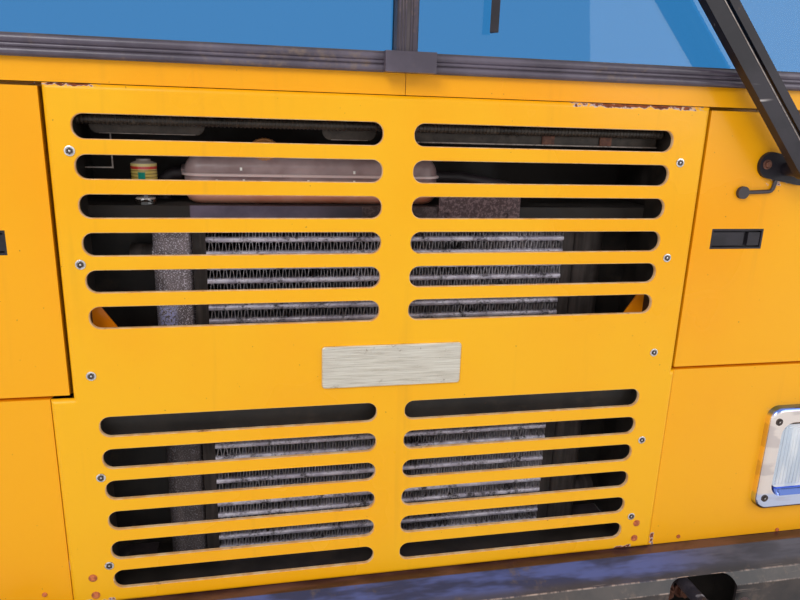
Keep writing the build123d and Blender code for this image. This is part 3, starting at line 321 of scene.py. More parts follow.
finishColumns = (
    "dark", "light", "mottle", "metal", "smooth", "dull",
    "grime", "grimeScale", "grimeAmount", "scratch", "scratchAmount", "rustAmount", "reliefScale", "relief",
)
finishSettings = {
    "chassisBlack": ((0.009, 0.007, 0.006), (0.022, 0.017, 0.014), 14, 0, 0.5, 0.76,
                     (0.045, 0.03, 0.022), 8, 0.5, (0.14, 0.12, 0.11), 0.25, 0.24, 260, 0.18),
    # the violet in the hook's tones is a painted sheen; its scratches and rust are real wear
    "wornHook": ((0.055, 0.046, 0.058), (0.125, 0.105, 0.125), 22, 0.2, 0.38, 0.62,
                 (0.085, 0.055, 0.04), 18, 0.55, (0.5, 0.46, 0.5), 0.45, 0.22, 500, 0.25),
    "wiperBlack": ((0.012, 0.01, 0.014), (0.026, 0.021, 0.028), 10, 0, 0.46, 0.66,
                   (0.1, 0.06, 0.04), 20, 0.34, (0.55, 0.5, 0.48), 0.3, 0.05, 420, 0.06),
    "bareAluminium": ((0.4, 0.37, 0.38), (0.62, 0.58, 0.6), 30, 0.85, 0.3, 0.6,
                      (0.1, 0.08, 0.07), 16, 0.62, (0.85, 0.82, 0.8), 0.5, 0, 700, 0.15),
    "castAluminium": ((0.22, 0.19, 0.18), (0.42, 0.36, 0.36), 60, 0.35, 0.5, 0.78,
                      (0.09, 0.07, 0.06), 7, 0.5, (0.7, 0.66, 0.66), 0.2, 0.06, 900, 0.55),
    "blackPlastic": ((0.016, 0.014, 0.016), (0.03, 0.027, 0.029), 12, 0, 0.45, 0.66,
                     (0.1, 0.08, 0.065), 22, 0.32, (0.1, 0.09, 0.09), 0.15, 0, 1400, 0.1),
    "gasketRubber": ((0.04, 0.03, 0.034), (0.085, 0.066, 0.074), 9, 0, 0.5, 0.74,
                     (0.17, 0.13, 0.12), 10, 0.42, (0.18, 0.14, 0.14), 0.3, 0, 600, 0.14),
    "dashBlack": ((0.06, 0.075, 0.09), (0.085, 0.1, 0.118), 6, 0, 0.5, 0.68,
                  (0.22, 0.21, 0.2), 9, 0.26, (0.2, 0.2, 0.2), 0.1, 0, 1500, 0.2),
    "capOrange": ((0.48, 0.18, 0.05), (0.7, 0.32, 0.1), 40, 0, 0.4, 0.62,
                  (0.12, 0.07, 0.04), 40, 0.4, (0.65, 0.45, 0.3), 0.2, 0, 900, 0.1),
    "brightSteel": ((0.62, 0.58, 0.56), (0.84, 0.82, 0.82), 160, 0.9, 0.2, 0.5,
                    (0.11, 0.06, 0.035), 120, 0.55, (0.9, 0.88, 0.85), 0.3, 0.16, 1600, 0.12),
    "rustySteel": ((0.105, 0.04, 0.026), (0.21, 0.085, 0.05), 120, 0.1, 0.6, 0.85,
                   (0.05, 0.03, 0.024), 70, 0.5, (0.42, 0.3, 0.24), 0.22, 0.42, 1300, 0.45),
    "coolerTube": ((0.5, 0.46, 0.56), (0.78, 0.74, 0.84), 38, 0.3, 0.34, 0.66,
                   (0.055, 0.045, 0.05), 30, 0.6, (0.92, 0.9, 0.96), 0.4, 0, 800, 0.3),
    "coolerFin": ((0.3, 0.27, 0.28), (0.62, 0.58, 0.62), 26, 0.2, 0.38, 0.7,
                  (0.026, 0.021, 0.02), 13, 0.62, (0.62, 0.6, 0.66), 0.25, 0, 900, 0.2),
    "darkSteel": ((0.045, 0.032, 0.028), (0.1, 0.075, 0.065), 140, 0.4, 0.4, 0.65,
                  (0.03, 0.02, 0.016), 110, 0.5, (0.6, 0.55, 0.5), 0.3, 0.12, 1500, 0.2),
    "loomTube": ((0.03, 0.023, 0.018), (0.07, 0.054, 0.042), 12, 0, 0.34, 0.58,
                 (0.11, 0.085, 0.065), 16, 0.5, (0.3, 0.26, 0.22), 0.3, 0, 900, 0.15),
    "redRust": ((0.38, 0.085, 0.03), (0.72, 0.2, 0.06), 160, 0, 0.55, 0.8,
                (0.16, 0.05, 0.025), 120, 0.45, (0.8, 0.4, 0.2), 0.15, 0.25, 700, 0.25),
    "dustyBrown": ((0.04, 0.03, 0.023), (0.075, 0.058, 0.046), 40, 0, 0.6, 0.82,
                   (0.022, 0.015, 0.012), 25, 0.5, (0.3, 0.25, 0.22), 0.3, 0.1, 700, 0.25),
    "paleEdge": ((0.26, 0.21, 0.18), (0.42, 0.36, 0.33), 60, 0.2, 0.45, 0.7,
                 (0.07, 0.05, 0.04), 30, 0.55, (0.6, 0.55, 0.52), 0.4, 0, 900, 0.2),
    "sheetEdge": ((0.78, 0.42, 0.16), (0.9, 0.62, 0.34), 50, 0, 0.45, 0.65,
                  (0.16, 0.05, 0.02), 22, 0.42, (0.95, 0.82, 0.62), 0.4, 0.14, 800, 0.2),
    "latchBlack": ((0.013, 0.011, 0.014), (0.024, 0.02, 0.026), 25, 0, 0.5, 0.68,
                   (0.055, 0.045, 0.045), 30, 0.3, (0.12, 0.1, 0.11), 0.25, 0, 1400, 0.12),
    # the violet in these rubber tones is a painted sky sheen on the black rubber
    "gasketRib": ((0.06, 0.046, 0.066), (0.12, 0.096, 0.13), 8, 0, 0.34, 0.6,
                  (0.2, 0.135, 0.1), 12, 0.48, (0.3, 0.26, 0.28), 0.42, 0, 500, 0.16),
    "amberLens": ((0.8, 0.22, 0.01), (0.88, 0.28, 0.015), 8, 0, 0.12, 0.3,
                  (0.4, 0.2, 0.06), 20, 0.2, (0.9, 0.5, 0.2), 0.15, 0, 300, 0.04),
}
recipeSettings = {
    "mottle": (5, 0.6, 0.36, 0.64),
    "scratchScale": 70,
    "rustTurn": (0.4, 0.2, 0.1),
    "rustPatches": 13,
    "rustScale": 70,
    "rustRough": 0.85,
}
finishExtras = {
    "wiperBlack": {"coat": 0.05, "specular": 0.3}, "latchBlack": {"specular": 0.35},
    "gasketRib": {"coat": 0.15}, "amberLens": {"coat": 0.6},
}


def makeFinish(name, settings):
    tree, surface, place = startFinish(name, settings)
    mottle = addFactor(tree, place, "cloud", settings["mottle"], *recipeSettings["mottle"])
    colour = addMix(tree, mottle, settings["dark"], settings["light"])
    dirt = addFactor(tree, place, "grime", settings["grimeScale"], settings["grimeAmount"])
    colour = addMix(tree, dirt, colour, settings["grime"])
    marks = addFactor(tree, place, "scratches", recipeSettings["scratchScale"], settings["scratchAmount"])
    colour = addMix(tree, marks, colour, settings["scratch"])
    rough = addRange(tree, dirt, 0, 1, settings["smooth"], settings["dull"])
    height = addRelief(tree, place, settings["reliefScale"])
    if settings["rustAmount"]:
        turned = addMapping(tree, place, (1, 1, 1), recipeSettings["rustTurn"])
        rustShare = addFactor(tree, turned, "grime", recipeSettings["rustPatches"], settings["rustAmount"])
        rusted = useGroup(tree, rust, Vector=place, Scale=recipeSettings["rustScale"])
        colour = addMix(tree, rustShare, colour, rusted["Color"])
        rough = addMath(tree, "MAXIMUM", rough, times(tree, rustShare, recipeSettings["rustRough"]))
        height = addMath(tree, "ADD", height, times(tree, rustShare, rusted["Height"]))
    endFinish(tree, surface, colour, rough, height, settings["relief"])


for name, row in finishSettings.items():
    makeFinish(name, {**dict(zip(finishColumns, row)), **finishExtras.get(name, {})})
print("stage: shared finishes")

# Finishes in layers: a base, colours laid over it by masks, roughness by a mask, and relief

glassDust = ("grime", 14, 0.18)
chromeSpecks = ("grime", 60, 0.2)
lensLightStreaks = ("streaks", (1, 1, 0.3), 30, 2, 0.5, 0.4, 0.6)
bezelSpecks = ("grime", 60, 0.22)
bumperDirt = ("grime", 10, 0.52)
bumperScrapes = ("scratches", 150, 0.46)
bumperLightStreaks = [("streaks", (7, 30, 30), 1, 3, 0.6, 0.4, 0.62)]
bumperReflectionFade = [("X", 0.5, 0.72)]  # the painted sky reflection is less blue towards the ends
tankCloud = [("cloud", 16, 3, 0.5, 0.35, 0.65)]
castCloud = [("cloud", 22, 4, 0.6, 0.35, 0.65)]
shelfCloud = [("cloud", 12, 4, 0.6, 0.35, 0.65)]
shelfMauve = ([("cloud", 180, 3, 0.7, 0.45, 0.62)], (0.07, 0.042, 0.045), (0.19, 0.125, 0.13))
paintDirt = (0.42, 0.17, 0.02)
paintTone = [("cloud", 2.2, 4, 0.55, 0.35, 0.65)]

layeredSettings = {
    "windshieldGlass": {
        "sockets": {"Transmission Weight": 1, "IOR": 1.45},
        "base": ([glassDust, 0.3], (0.035, 0.215, 0.5), (0.3, 0.4, 0.5)),
        "rough": ([glassDust], 0.02, 0.22),
    },
    "lampChrome": {
        "metal": 1,
        "base": ([chromeSpecks], (0.88, 0.89, 0.92), (0.35, 0.32, 0.31)),
        "rough": ([chromeSpecks], 0.05, 0.45),
    },
    # the lens's pale bluish tones are painted light and shade, in upright streaks
    "lampGlass": {
        "metal": 0.55, "coat": 0.8,
        "base": ([lensLightStreaks], (0.62, 0.7, 0.8), (0.86, 0.89, 0.93)),
        "rough": ([lensLightStreaks], 0.1, 0.22),
    },
    # bright chrome with painted reflections: sky blue on the edges that face up, brown ground below, cream and
    # pale blue limbs
    "bezelChrome": {
        "metal": 1,
        "base": ([("Z", 0.232, 0.24, 1, 0)], (0.96, 0.86, 0.79), (0.66, 0.73, 0.94)),
        "layers": [
            ([("streaks", (8, 8, 26), 1.4, 2, 0.5, 0.5, 0.6), 0.35], (0.42, 0.36, 0.38)),
            # painted sky reflection on faces that point up, painted ground reflection on those that point down
            ([("facingUp", 0.2, 0.6)], (0.17, 0.26, 0.66)),
            ([("facingUp", -0.6, -0.2, 1, 0)], (0.11, 0.07, 0.055)),
            ([bezelSpecks], (0.3, 0.22, 0.18)),
        ],
        "rough": ([bezelSpecks], 0.06, 0.45),
    },
    # black under brown dirt and scrapes, a painted red-brown shade on the top flange, a painted bluish sky
    # reflection on the slope in front of it, and worn pale lines along the folds
    "bumperPaint": {
        "coat": 0.12, "coatRough": 0.2, "specular": 0.4,
        "base": ([("cloud", 7, 5, 0.62, 0.36, 0.64)], (0.022, 0.018, 0.019), (0.06, 0.046, 0.041)),
        "layers": [
            ([bumperDirt, ("Z", -0.04, 0.1, 0.35, 0.85)], (0.16, 0.115, 0.092)),
            ([bumperScrapes, 0.55], (0.36, 0.28, 0.24)),
            # painted shade: red-brown on the top flange under the panels
            ([("Y", -0.7205, -0.7185), ("Z", 0.111, 0.113)],
             (bumperLightStreaks, (0.05, 0.02, 0.018), (0.115, 0.052, 0.044))),
            # painted sky reflection: blue on the slope, weaker where dirt is smeared
            ([("Y", -0.7205, -0.719, 1, 0), ("Z", 0.104, 0.1062), ("Y", -0.766, -0.748, 0.15, 0.92),
              (*bumperDirt, 0.95, 0.3)],
             (bumperLightStreaks, (bumperReflectionFade, (0.028, 0.034, 0.095), (0.04, 0.038, 0.056)),
              (bumperReflectionFade, (0.09, 0.12, 0.34), (0.09, 0.086, 0.115)))),
        ] + [
            ([("patch", (0, y, z), (1.3, 0.002, 0.002), 0.8), ("streaks", (30, 3, 3), 1, 5, 0.75, 0.4, 0.64)],
             (0.46, 0.34, 0.28))
            for y, z in ((-0.719, 0.115), (-0.769, 0.106), (-0.783, 0.084))
        ],
        "rough": ([bumperDirt], 0.32, 0.66),
        "relief": (320, 0.15),
        "worn": ([bumperScrapes], 0.4),
    },
    # pale plastic, coolant in its lower half, a weld line and pale dots
    "tankPlastic": {
        "coat": 0.15, "sockets": {"Subsurface Weight": 0.15, "Subsurface Radius": (0.02, 0.008, 0.006)},
        "base": ([("Z", 0.836, 0.846, 1, 0)], (tankCloud, (0.26, 0.165, 0.16), (0.44, 0.315, 0.31)),
                 (tankCloud, (0.86, 0.33, 0.2), (0.95, 0.44, 0.3))),
        "layers": [
            ([("Z", 0.8544, 0.855), ("Z", 0.859, 0.8596, 1, 0)], (0.74, 0.56, 0.54)),
        ] + [
            ([("patch", (x, -0.617, z), (0.0022, 0.02, 0.003), 0.35)], (0.95, 0.9, 0.86))
            for x, z in ((-0.283, 0.847), (-0.244, 0.867), (-0.24, 0.848), (-0.135, 0.848), (-0.058, 0.864),
                         (-0.058, 0.848))
        ] + [([("grime", 15, 0.28)], (0.16, 0.1, 0.09))],
        "rough": ([("grime", 15, 0.28)], 0.38, 0.7),
        "relief": (300, 0.08),
    },
    # dark dusty casting, and on the left tank a pale speckled one with a bluish spot, a painted sky reflection
    "tankCasting": {
        "specular": 0.4,
        "base": (
            [("X", -0.3945, -0.3925), ("X", -0.3295, -0.328, 1, 0), ("Z", 0.54, 0.6, 0.25, 1)],
            ([("streaks", (60, 10, 5), 1, 3, 0.6, 0.4, 0.7)], (0.022, 0.016, 0.014), (0.06, 0.046, 0.042)),
            # painted sky reflection: the bluish spot on the left tank
            ([("patch", (-0.3735, -0.605, 0.614), (0.02, 0.03, 0.026), 0.6), ("cloud", 240, 3, 0.6, 0.44, 0.52)],
             ([("cloud", 430, 3, 0.7, 0.545, 0.6, 0, 0.85)],
              (castCloud, (0.13, 0.105, 0.11), (0.27, 0.22, 0.235)), (0.86, 0.8, 0.9)),
             (0.46, 0.46, 0.74)),
        ),
        "rough": (castCloud, 0.55, 0.8),
        "relief": (600, 0.4),
    },
    # dusty purple-grey on the shelf's front edge, mauve in its middle and on the ear, black elsewhere
    "shelfFinish": {
        "specular": 0.4,
        "base": (shelfCloud, (0.012, 0.009, 0.008), (0.03, 0.023, 0.019)),
        "layers": [
            ([("patch", (-0.185, -0.63, 0.797), (0.142, 0.006, 0.016), 0.02), ("X", -0.22, -0.06, 1, 0.35)],
             (shelfCloud, (0.085, 0.066, 0.098), (0.17, 0.135, 0.19))),
            ([("patch", (0.02, -0.63, 0.797), (0.067, 0.006, 0.016), 0.02), 0.45], shelfMauve),
            ([("patch", (0.161, -0.63, 0.815), (0.075, 0.03, 0.034), 0.02)], shelfMauve),
        ],
        "rough": (shelfCloud, 0.5, 0.78),
        "relief": (700, 0.25),
    },
    # bands up the jar: share of the node's height, and the colour from there up
    "gaugeClear": {
        "coat": 0.7, "coatRough": 0.05,
        "base": ("bands", "filter_gauge", [
            (0, (0.018, 0.014, 0.012)), (0.12, (0.5, 0.42, 0.38)), (0.165, (0.03, 0.024, 0.022)),
            (0.5, (0.62, 0.44, 0.09)), (0.6, (0.3, 0.2, 0.05)), (0.62, (0.66, 0.49, 0.12)),
            (0.67, (0.28, 0.19, 0.05)), (0.69, (0.66, 0.5, 0.13)), (0.74, (0.3, 0.2, 0.05)),
            (0.76, (0.66, 0.5, 0.16)), (0.78, (0.6, 0.05, 0.035)), (0.84, (0.68, 0.55, 0.2)),
            (0.9, (0.3, 0.24, 0.2)),
        ]),
        "layers": [
            ([("patch", (-0.396, -0.632, 0.8545), (0.0065, 0.012, 0.0078), 0.3)], (0.01, 0.27, 0.2)),
            ([("grime", 50, 0.26)], (0.1, 0.08, 0.06)),
        ],
        "rough": ([("grime", 50, 0.26)], 0.12, 0.5),
    },
    "yellowPaint": {
        "coat": 0.12, "coatRough": 0.1, "specular": 0.28,
        "base": (paintTone, (1, 0.39, 0.001), (1, 0.435, 0.002)),
        "layers": [
            ([("cloud", 0.9, 2, 0.5, 0.45, 0.75, 0, 0.45)], (1, 0.48, 0.01)),
            ([("streaks", (26, 4, 1.6), 1, 3, 0.6, 0.6, 0.82, 0, 0.16)], paintDirt),
            ([("cloud", 170, 1, 0.4, 0.765, 0.8), 0.75], paintDirt),
            ([("grime", 6, 0.16), 0.22], paintDirt),
        ],
        "rough": (paintTone, 0.24, 0.42),
        "relief": (420, 0.1),
    },
}
bodyPaint = layeredSettings["yellowPaint"]
# painted light: a lighter copy of the body paint for the grille panel, as the middle of the front is lit brighter
litPanelPaint = {**bodyPaint, "base": (paintTone, (1, 0.445, 0.002), (1, 0.495, 0.005))}
# painted shade: a darker copy of the body paint for the seam strips and gussets that sit in shadow
layeredSettings["deepPaint"] = {**bodyPaint, "base": (paintTone, (0.8, 0.2, 0.001), (0.92, 0.27, 0.002))}

# Chips down to primer and rust: name of the panel, centre, half size, noise level where paint is lost
chipSettings = {
    "flakes": (85, 5, 0.62),
    "softness": 0.75,
    "pull": 0.22,
    "edge": 0.12,
    "bare": (0.1, 0.125),
    "core": (0.145, 0.19),
    "primer": (0.62, 0.5, 0.48),
    "rustScale": 160,
    "rough": 0.85,
    "depth": 0.8,
    "places": {
        "grille_panel": [
            ((0.405, -0.7, 0.99), (0.145, 0.02, 0.0095), 0.45),
            ((-0.47, -0.7, 0.989), (0.05, 0.02, 0.005), 0.48),
            ((0.48, -0.7, 0.135), (0.028, 0.02, 0.008), 0.5),
            ((-0.5, -0.7, 0.136), (0.04, 0.02, 0.008), 0.52),
        ],
        "lamp_panel_right": [((0.55, -0.694, 0.146), (0.006, 0.02, 0.02), 0.5)],
        "access_door_right": [((0.7, -0.694, 0.868), (0.05, 0.02, 0.02), 0.63)],
    },
}


def addChip(tree, place, settings, centre, half, level, colour, rough, height):
    here = addFactor(tree, place, "patch", centre, half, settings["softness"])
    lost = addMath(tree, "ADD", addNoise(tree, place, *settings["flakes"]), times(tree, here, settings["pull"]))
    lost = times(tree, lost, addRange(tree, here, 0, settings["edge"]))
    bare, core = [addRange(tree, lost, *[level + step for step in settings[part]]) for part in ("bare", "core")]
    rusted = useGroup(tree, rust, Vector=place, Scale=settings["rustScale"])
    colour = addMix(tree, core, addMix(tree, bare, colour, settings["primer"]), rusted["Color"])
    rough = addMath(tree, "MAXIMUM", rough, times(tree, bare, settings["rough"]))
    return colour, rough, addMath(tree, "SUBTRACT", height, times(tree, bare, settings["depth"]))


def makeLayered(name, settings, chips=()):
    tree, surface, place = startFinish(name, settings)
    colour = addColour(tree, place, settings["base"])
    for mask, over in settings.get("layers", []):
        colour = addMix(tree, addMask(tree, place, mask), colour, addColour(tree, place, over))
    mask, smooth, dull = settings["rough"]
    rough = addRange(tree, addMask(tree, place, mask), 0, 1, smooth, dull)
    height = None
    scale, strength = settings.get("relief", (0, 0))
    if scale:
        height = addRelief(tree, place, scale)
    if "worn" in settings:
        mask, depth = settings["worn"]
        height = addMath(tree, "SUBTRACT", height, times(tree, addMask(tree, place, mask), depth))
    for chip in chips:
        colour, rough, height = addChip(tree, place, chipSettings, *chip, colour, rough, height)
    endFinish(tree, surface, colour, rough, height, strength)


for name, settings in layeredSettings.items():
    makeLayered(name, settings)
# the grille panel gets the lighter copy of the paint, with painted light
for name, chips in chipSettings["places"].items():
    makeLayered(f"yellowPaint_{name}", litPanelPaint if name == "grille_panel" else bodyPaint, chips)
print("stage: paint, glass, chrome and plastic")

badgeSettings = {
    "metal": 0.9,
    "stretch": (1, 1, 60),
    "brushed": (18, 3, 0.6),
    "toneRange": (0.35, 0.65),
    "tones": ((0.62, 0.56, 0.46), (0.84, 0.8, 0.7)),
    "grime": (40, 0.38),
    "dirt": (0.24, 0.16, 0.09),
    "roughRange": (0.3, 0.7, 0.26, 0.46),
    "relief": 0.06,
}


def makeBadgeMetal(settings):
    tree, surface, place = startFinish("badgeMetal", settings)
    brushed = addNoise(tree, addMapping(tree, place, settings["stretch"]), *settings["brushed"])
    colour = addMix(tree, addRange(tree, brushed, *settings["toneRange"]), *settings["tones"])
    colour = addMix(tree, addFactor(tree, place, "grime", *settings["grime"]), colour, settings["dirt"])
    rough = addRange(tree, brushed, *settings["roughRange"])
    endFinish(tree, surface, colour, rough, brushed, settings["relief"])


makeBadgeMetal(badgeSettings)
print("stage: badge finish")

# Each CAD node gets a finish: its own, that of its slot, or the one named like the slot

ownFinishes = {
    "badge_plate": "badgeMetal", "cooler_tanks": "tankCasting", "tank_shelf": "shelfFinish",
    "door_latch_left": "latchBlack", "door_latch_right": "latchBlack", "post_foot": "gasketRib",
    "air_flaps": "dustyBrown", "lamp_bezels": "bezelChrome", "tow_hooks": "wornHook",
    "bumper_black": "bumperPaint", **{name: f"yellowPaint_{name}" for name in chipSettings["places"]},
}
for part in frame["record"]["subparts"]:
    slot = part["material_slot"]
    firstWord, *otherWords = slot.split("_")
    slotFinish = ownFinishes.get(slot, firstWord + "".join(word.title() for word in otherWords))
    mesh = nodes[part["node"]].data
    mesh.materials.clear()
    mesh.materials.append(finishes[ownFinishes.get(part["node"], slotFinish)])
print("stage: finishes on the CAD nodes")

# Floor, backdrop and soft studio light

studioSettings = {
    "floorColour": (0.82, 0.82, 0.83),
    "floorRough": 0.8,
    "floorSize": 24,
    "skyColour": (0.92, 0.94, 0.98),
    "skyStrength": 0.5,
    "seenColour": (0.93, 0.94, 0.96),
    "lamps": [
        {"name": "keyLamp", "place": (-2.6, -4.6, 4.4), "aim": (0, -0.7, 0.8), "size": 2.6, "watts": 150},
        {"name": "fillLamp", "place": (3.6, -4.2, 2.4), "aim": (0, -0.7, 0.7), "size": 3.2, "watts": 60},
        {"name": "backLamp", "place": (0.5, 4.6, 3.6), "aim": (0, -0.4, 0.8), "size": 3.0, "watts": 90},
    ],
}


def addFloor(settings):
    bpy.ops.mesh.primitive_plane_add(size=settings["floorSize"], location=(0, 0, boxAtLoad[0][2]))
    floor = bpy.context.object
    floor.name = "studioFloor"
    endFinish(*startFinish("paleFloor", {})[:2], settings["floorColour"], settings["floorRough"])
    floor.data.materials.append(finishes["paleFloor"])


def addWorld(settings):
    world = bpy.data.worlds.new("studioWorld")
    bpy.context.scene.world = world
    world.use_nodes = True
    tree = world.node_tree
    tree.nodes.clear()
    path = tree.nodes.new("ShaderNodeLightPath").outputs
    seenAtAll = addMath(tree, "MAXIMUM", path["Is Camera Ray"], path["Is Glossy Ray"])
    seenAtAll = addMath(tree, "MAXIMUM", seenAtAll, path["Is Transmission Ray"])
    light = {"Color": settings["skyColour"], "Strength": settings["skyStrength"]}
    light = addNode(tree, "Background", "Background", light)
    seen = addNode(tree, "Background", "Background", {"Color": settings["seenColour"]})
    mix = addNode(tree, "MixShader", "Shader", {0: seenAtAll, 1: light, 2: seen})
    output = tree.nodes.new("ShaderNodeOutputWorld")
    plug(tree, mix, output.inputs["Surface"])


def addLamps(settings):
    for lamp in settings["lamps"]:
        bpy.ops.object.light_add(type="AREA", location=lamp["place"])
        light = bpy.context.object
        light.name = lamp["name"]
        light.data.size = lamp["size"]
        light.data.energy = lamp["watts"]
        aim = Vector(lamp["aim"]) - Vector(lamp["place"])
        light.rotation_euler = aim.to_track_quat("-Z", "Y").to_euler()


addFloor(studioSettings)
addWorld(studioSettings)
addLamps(studioSettings)
bpy.context.scene.view_settings.view_transform = "Standard"
print("stage: studio")

# Modelling helpers

tiny = 1e-5
front = Vector((0, -1, 0))
back = Vector((0, 1, 0))
upward = Vector((0, 0, 1))


def leaveEditMode():
    bpy.ops.object.mode_set(mode="OBJECT")


def deselectAll():
    if bpy.context.object and bpy.context.object.mode != "OBJECT":
        leaveEditMode()
    bpy.ops.object.select_all(action="DESELECT")


def makeActive(piece):
    deselectAll()
    piece.select_set(True)
    bpy.context.view_layer.objects.active = piece


def placeInMesh(piece, name):
    piece.name = name
    bpy.ops.object.transform_apply(location=True, rotation=True, scale=True)
    return piece


def addRound(name, place, radius, depth, sides=24, along="Y"):
    turns = {"X": (0, math.pi / 2, 0), "Y": (math.pi / 2, 0, 0), "Z": (0, 0, 0)}
    deselectAll()
    bpy.ops.mesh.primitive_cylinder_add(
        vertices=sides, radius=radius, depth=depth, location=place, rotation=turns[along])
    return placeInMesh(bpy.context.object, name)


def addBlock(name, low, high):
    low, high = Vector(low), Vector(high)
    deselectAll()
    bpy.ops.mesh.primitive_cube_add(size=1, location=(low + high) / 2)
    bpy.context.object.scale = high - low
    return placeInMesh(bpy.context.object, name)


def clearPicks(piece, mode):
    makeActive(piece)
    bpy.context.tool_settings.mesh_select_mode = [mode == kind for kind in ("VERT", "EDGE", "FACE")]
    for parts in (piece.data.vertices, piece.data.edges, piece.data.polygons):
        parts.foreach_set("select", [False] * len(parts))


def pickFaces(piece, test):
    clearPicks(piece, "FACE")
    for face in piece.data.polygons:
        face.select = test(face.center, face.normal)
    bpy.ops.object.mode_set(mode="EDIT")


def pickEdges(piece, test):
    clearPicks(piece, "EDGE")
    for edge in piece.data.edges:
        edge.select = test(*[piece.data.vertices[index].co for index in edge.vertices])
    bpy.ops.object.mode_set(mode="EDIT")


def deleteFaces(piece, test, kind="FACE"):
    pickFaces(piece, test)
    bpy.ops.mesh.delete(type=kind)
    leaveEditMode()


def stepInsets(piece, out, steps):
    # each step narrows the outermost face and moves it out or in
    top = max(vertex.co.dot(out) for vertex in piece.data.vertices)
    pickFaces(piece, lambda centre, normal: normal.dot(out) > 0.9 and centre.dot(out) > top - tiny)
    for thickness, depth in steps:
        bpy.ops.mesh.inset(thickness=thickness, depth=depth)
    leaveEditMode()
    return piece


def bevelEdges(piece, test, width, segments=2):
    pickEdges(piece, test)
    bpy.ops.mesh.bevel(offset=width, segments=segments, affect="EDGES")
    leaveEditMode()
    return piece


def longEdges(axis, least=tiny):
    return lambda first, second: abs(first[axis] - second[axis]) > least


def frontEdges(piece):
    nearest = min(vertex.co.y for vertex in piece.data.vertices)
    return lambda first, second: first.y < nearest + tiny and second.y < nearest + tiny


def bisectPiece(piece, place, normal):
    # what lies ahead of the plane goes, and the cut is closed
    clearPicks(piece, "FACE")
    bpy.ops.object.mode_set(mode="EDIT")
    bpy.ops.mesh.select_all(action="SELECT")
    bpy.ops.mesh.bisect(plane_co=place, plane_no=normal, use_fill=True, clear_outer=True)
    leaveEditMode()
    return piece


def applyModifier(piece, kind, **values):
    makeActive(piece)
    modifier = piece.modifiers.new("shaping", kind)
    for label, value in values.items():
        setattr(modifier, label, value)
    bpy.ops.object.modifier_apply(modifier=modifier.name)
    return piece


def repeatPiece(piece, count, offset, merge=False):
    return applyModifier(piece, "ARRAY", count=count, use_relative_offset=False, use_constant_offset=True,
                         constant_offset_displace=offset, use_merge_vertices=merge, merge_threshold=tiny)


def addTurned(name, place, steps, sides):
    # a disc of the first radius pulled up ring by ring: each step gives the next radius and the rise to it
    place = Vector(place)
    radius = steps[0][0]
    deselectAll()
    bpy.ops.mesh.primitive_circle_add(vertices=sides, radius=radius, fill_type="NGON", location=place)
    piece = placeInMesh(bpy.context.object, name)
    pickFaces(piece, lambda centre, normal: True)
    now, height = radius, 0
    for nextRadius, rise in steps[1:]:
        height += rise
        bpy.ops.mesh.extrude_region_move(TRANSFORM_OT_translate={"value": (0, 0, rise)})
        share = nextRadius / now
        bpy.ops.transform.resize(value=(share, share, 1), center_override=place + upward * height)
        now = nextRadius
    leaveEditMode()
    return piece


def leanForward(piece, place, degrees):
    makeActive(piece)
    piece.location = place
    piece.rotation_euler = (math.radians(degrees), 0, 0)
    return placeInMesh(piece, piece.name)


def joinPieces(pieces, name):
    makeActive(pieces[0])
    if len(pieces) > 1:
        for piece in pieces:
            piece.select_set(True)
        bpy.ops.object.join()
    pieces[0].name = name
    return pieces[0]


def finishPiece(pieces, name, slot, finish, body="root", smoothAngle=38):
    piece = joinPieces(pieces, name)
    bpy.ops.object.mode_set(mode="EDIT")
    bpy.ops.mesh.select_all(action="SELECT")
    bpy.ops.mesh.remove_doubles(threshold=1e-6)
    bpy.ops.mesh.normals_make_consistent(inside=False)
    leaveEditMode()
    bpy.ops.object.shade_smooth_by_angle(angle=math.radians(smoothAngle))
    piece.data.materials.clear()
    piece.data.materials.append(finishes[finish])
    piece.select_set(False)
    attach(piece, body)
    return piece


def makeBlocks(name, slot, finish, blocks):
    # each block: lower corner, upper corner, rounding of its front edges or insets, and where these face
    pieces = []
    for low, high, shaping, *facing in blocks:
        block = addBlock("block", low, high)
        if isinstance(shaping, list):
            pieces.append(stepInsets(block, facing[0] if facing else front, shaping))
        else:
            pieces.append(bevelEdges(block, frontEdges(block), shaping))
    finishPiece(pieces, name, slot, finish)


def copiesAt(model, spots, name, slot, finish, body="root"):
    # one model at the origin becomes a piece with a copy at each spot, each with its own mesh
    copies = []
    for spot in spots:
        copied = model.copy()
        copied.data = model.data.copy()
        copied.data.transform(Matrix.Translation(spot))
        bpy.context.scene.collection.objects.link(copied)
        copies.append(copied)
    bpy.data.objects.remove(model)
    finishPiece(copies, name, slot, finish, body)


def bothSides(spots):
    return [(side * x, y, z) for x, y, z in spots for side in (-1, 1)]


def onPlane(y, spots):
    return [(x, y, z) for x, z in spots]


# Screws and bolts: the model stands at the origin and looks forward

boltSettings = {
    "cupScrew": {"washer": (0.0075, 0.0012), "head": (0.0047, 0.0016)},
    "flatBolt": {"washer": (0.007, 0.001), "head": (0.0052, 0.0012), "sides": 16, "socket": 0},
    "hexSmall": {"washer": (0.0085, 0.0014), "head": (0.0058, 0.0042), "sides": 6, "socket": 0},
    "hexLarge": {"washer": (0.02, 0.0035), "head": (0.0145, 0.011), "sides": 6, "socket": 0},
    "panHead": {"washer": (0.0042, 0.0006), "head": (0.0038, 0.0014), "sides": 16, "socket": 0.0016},
}
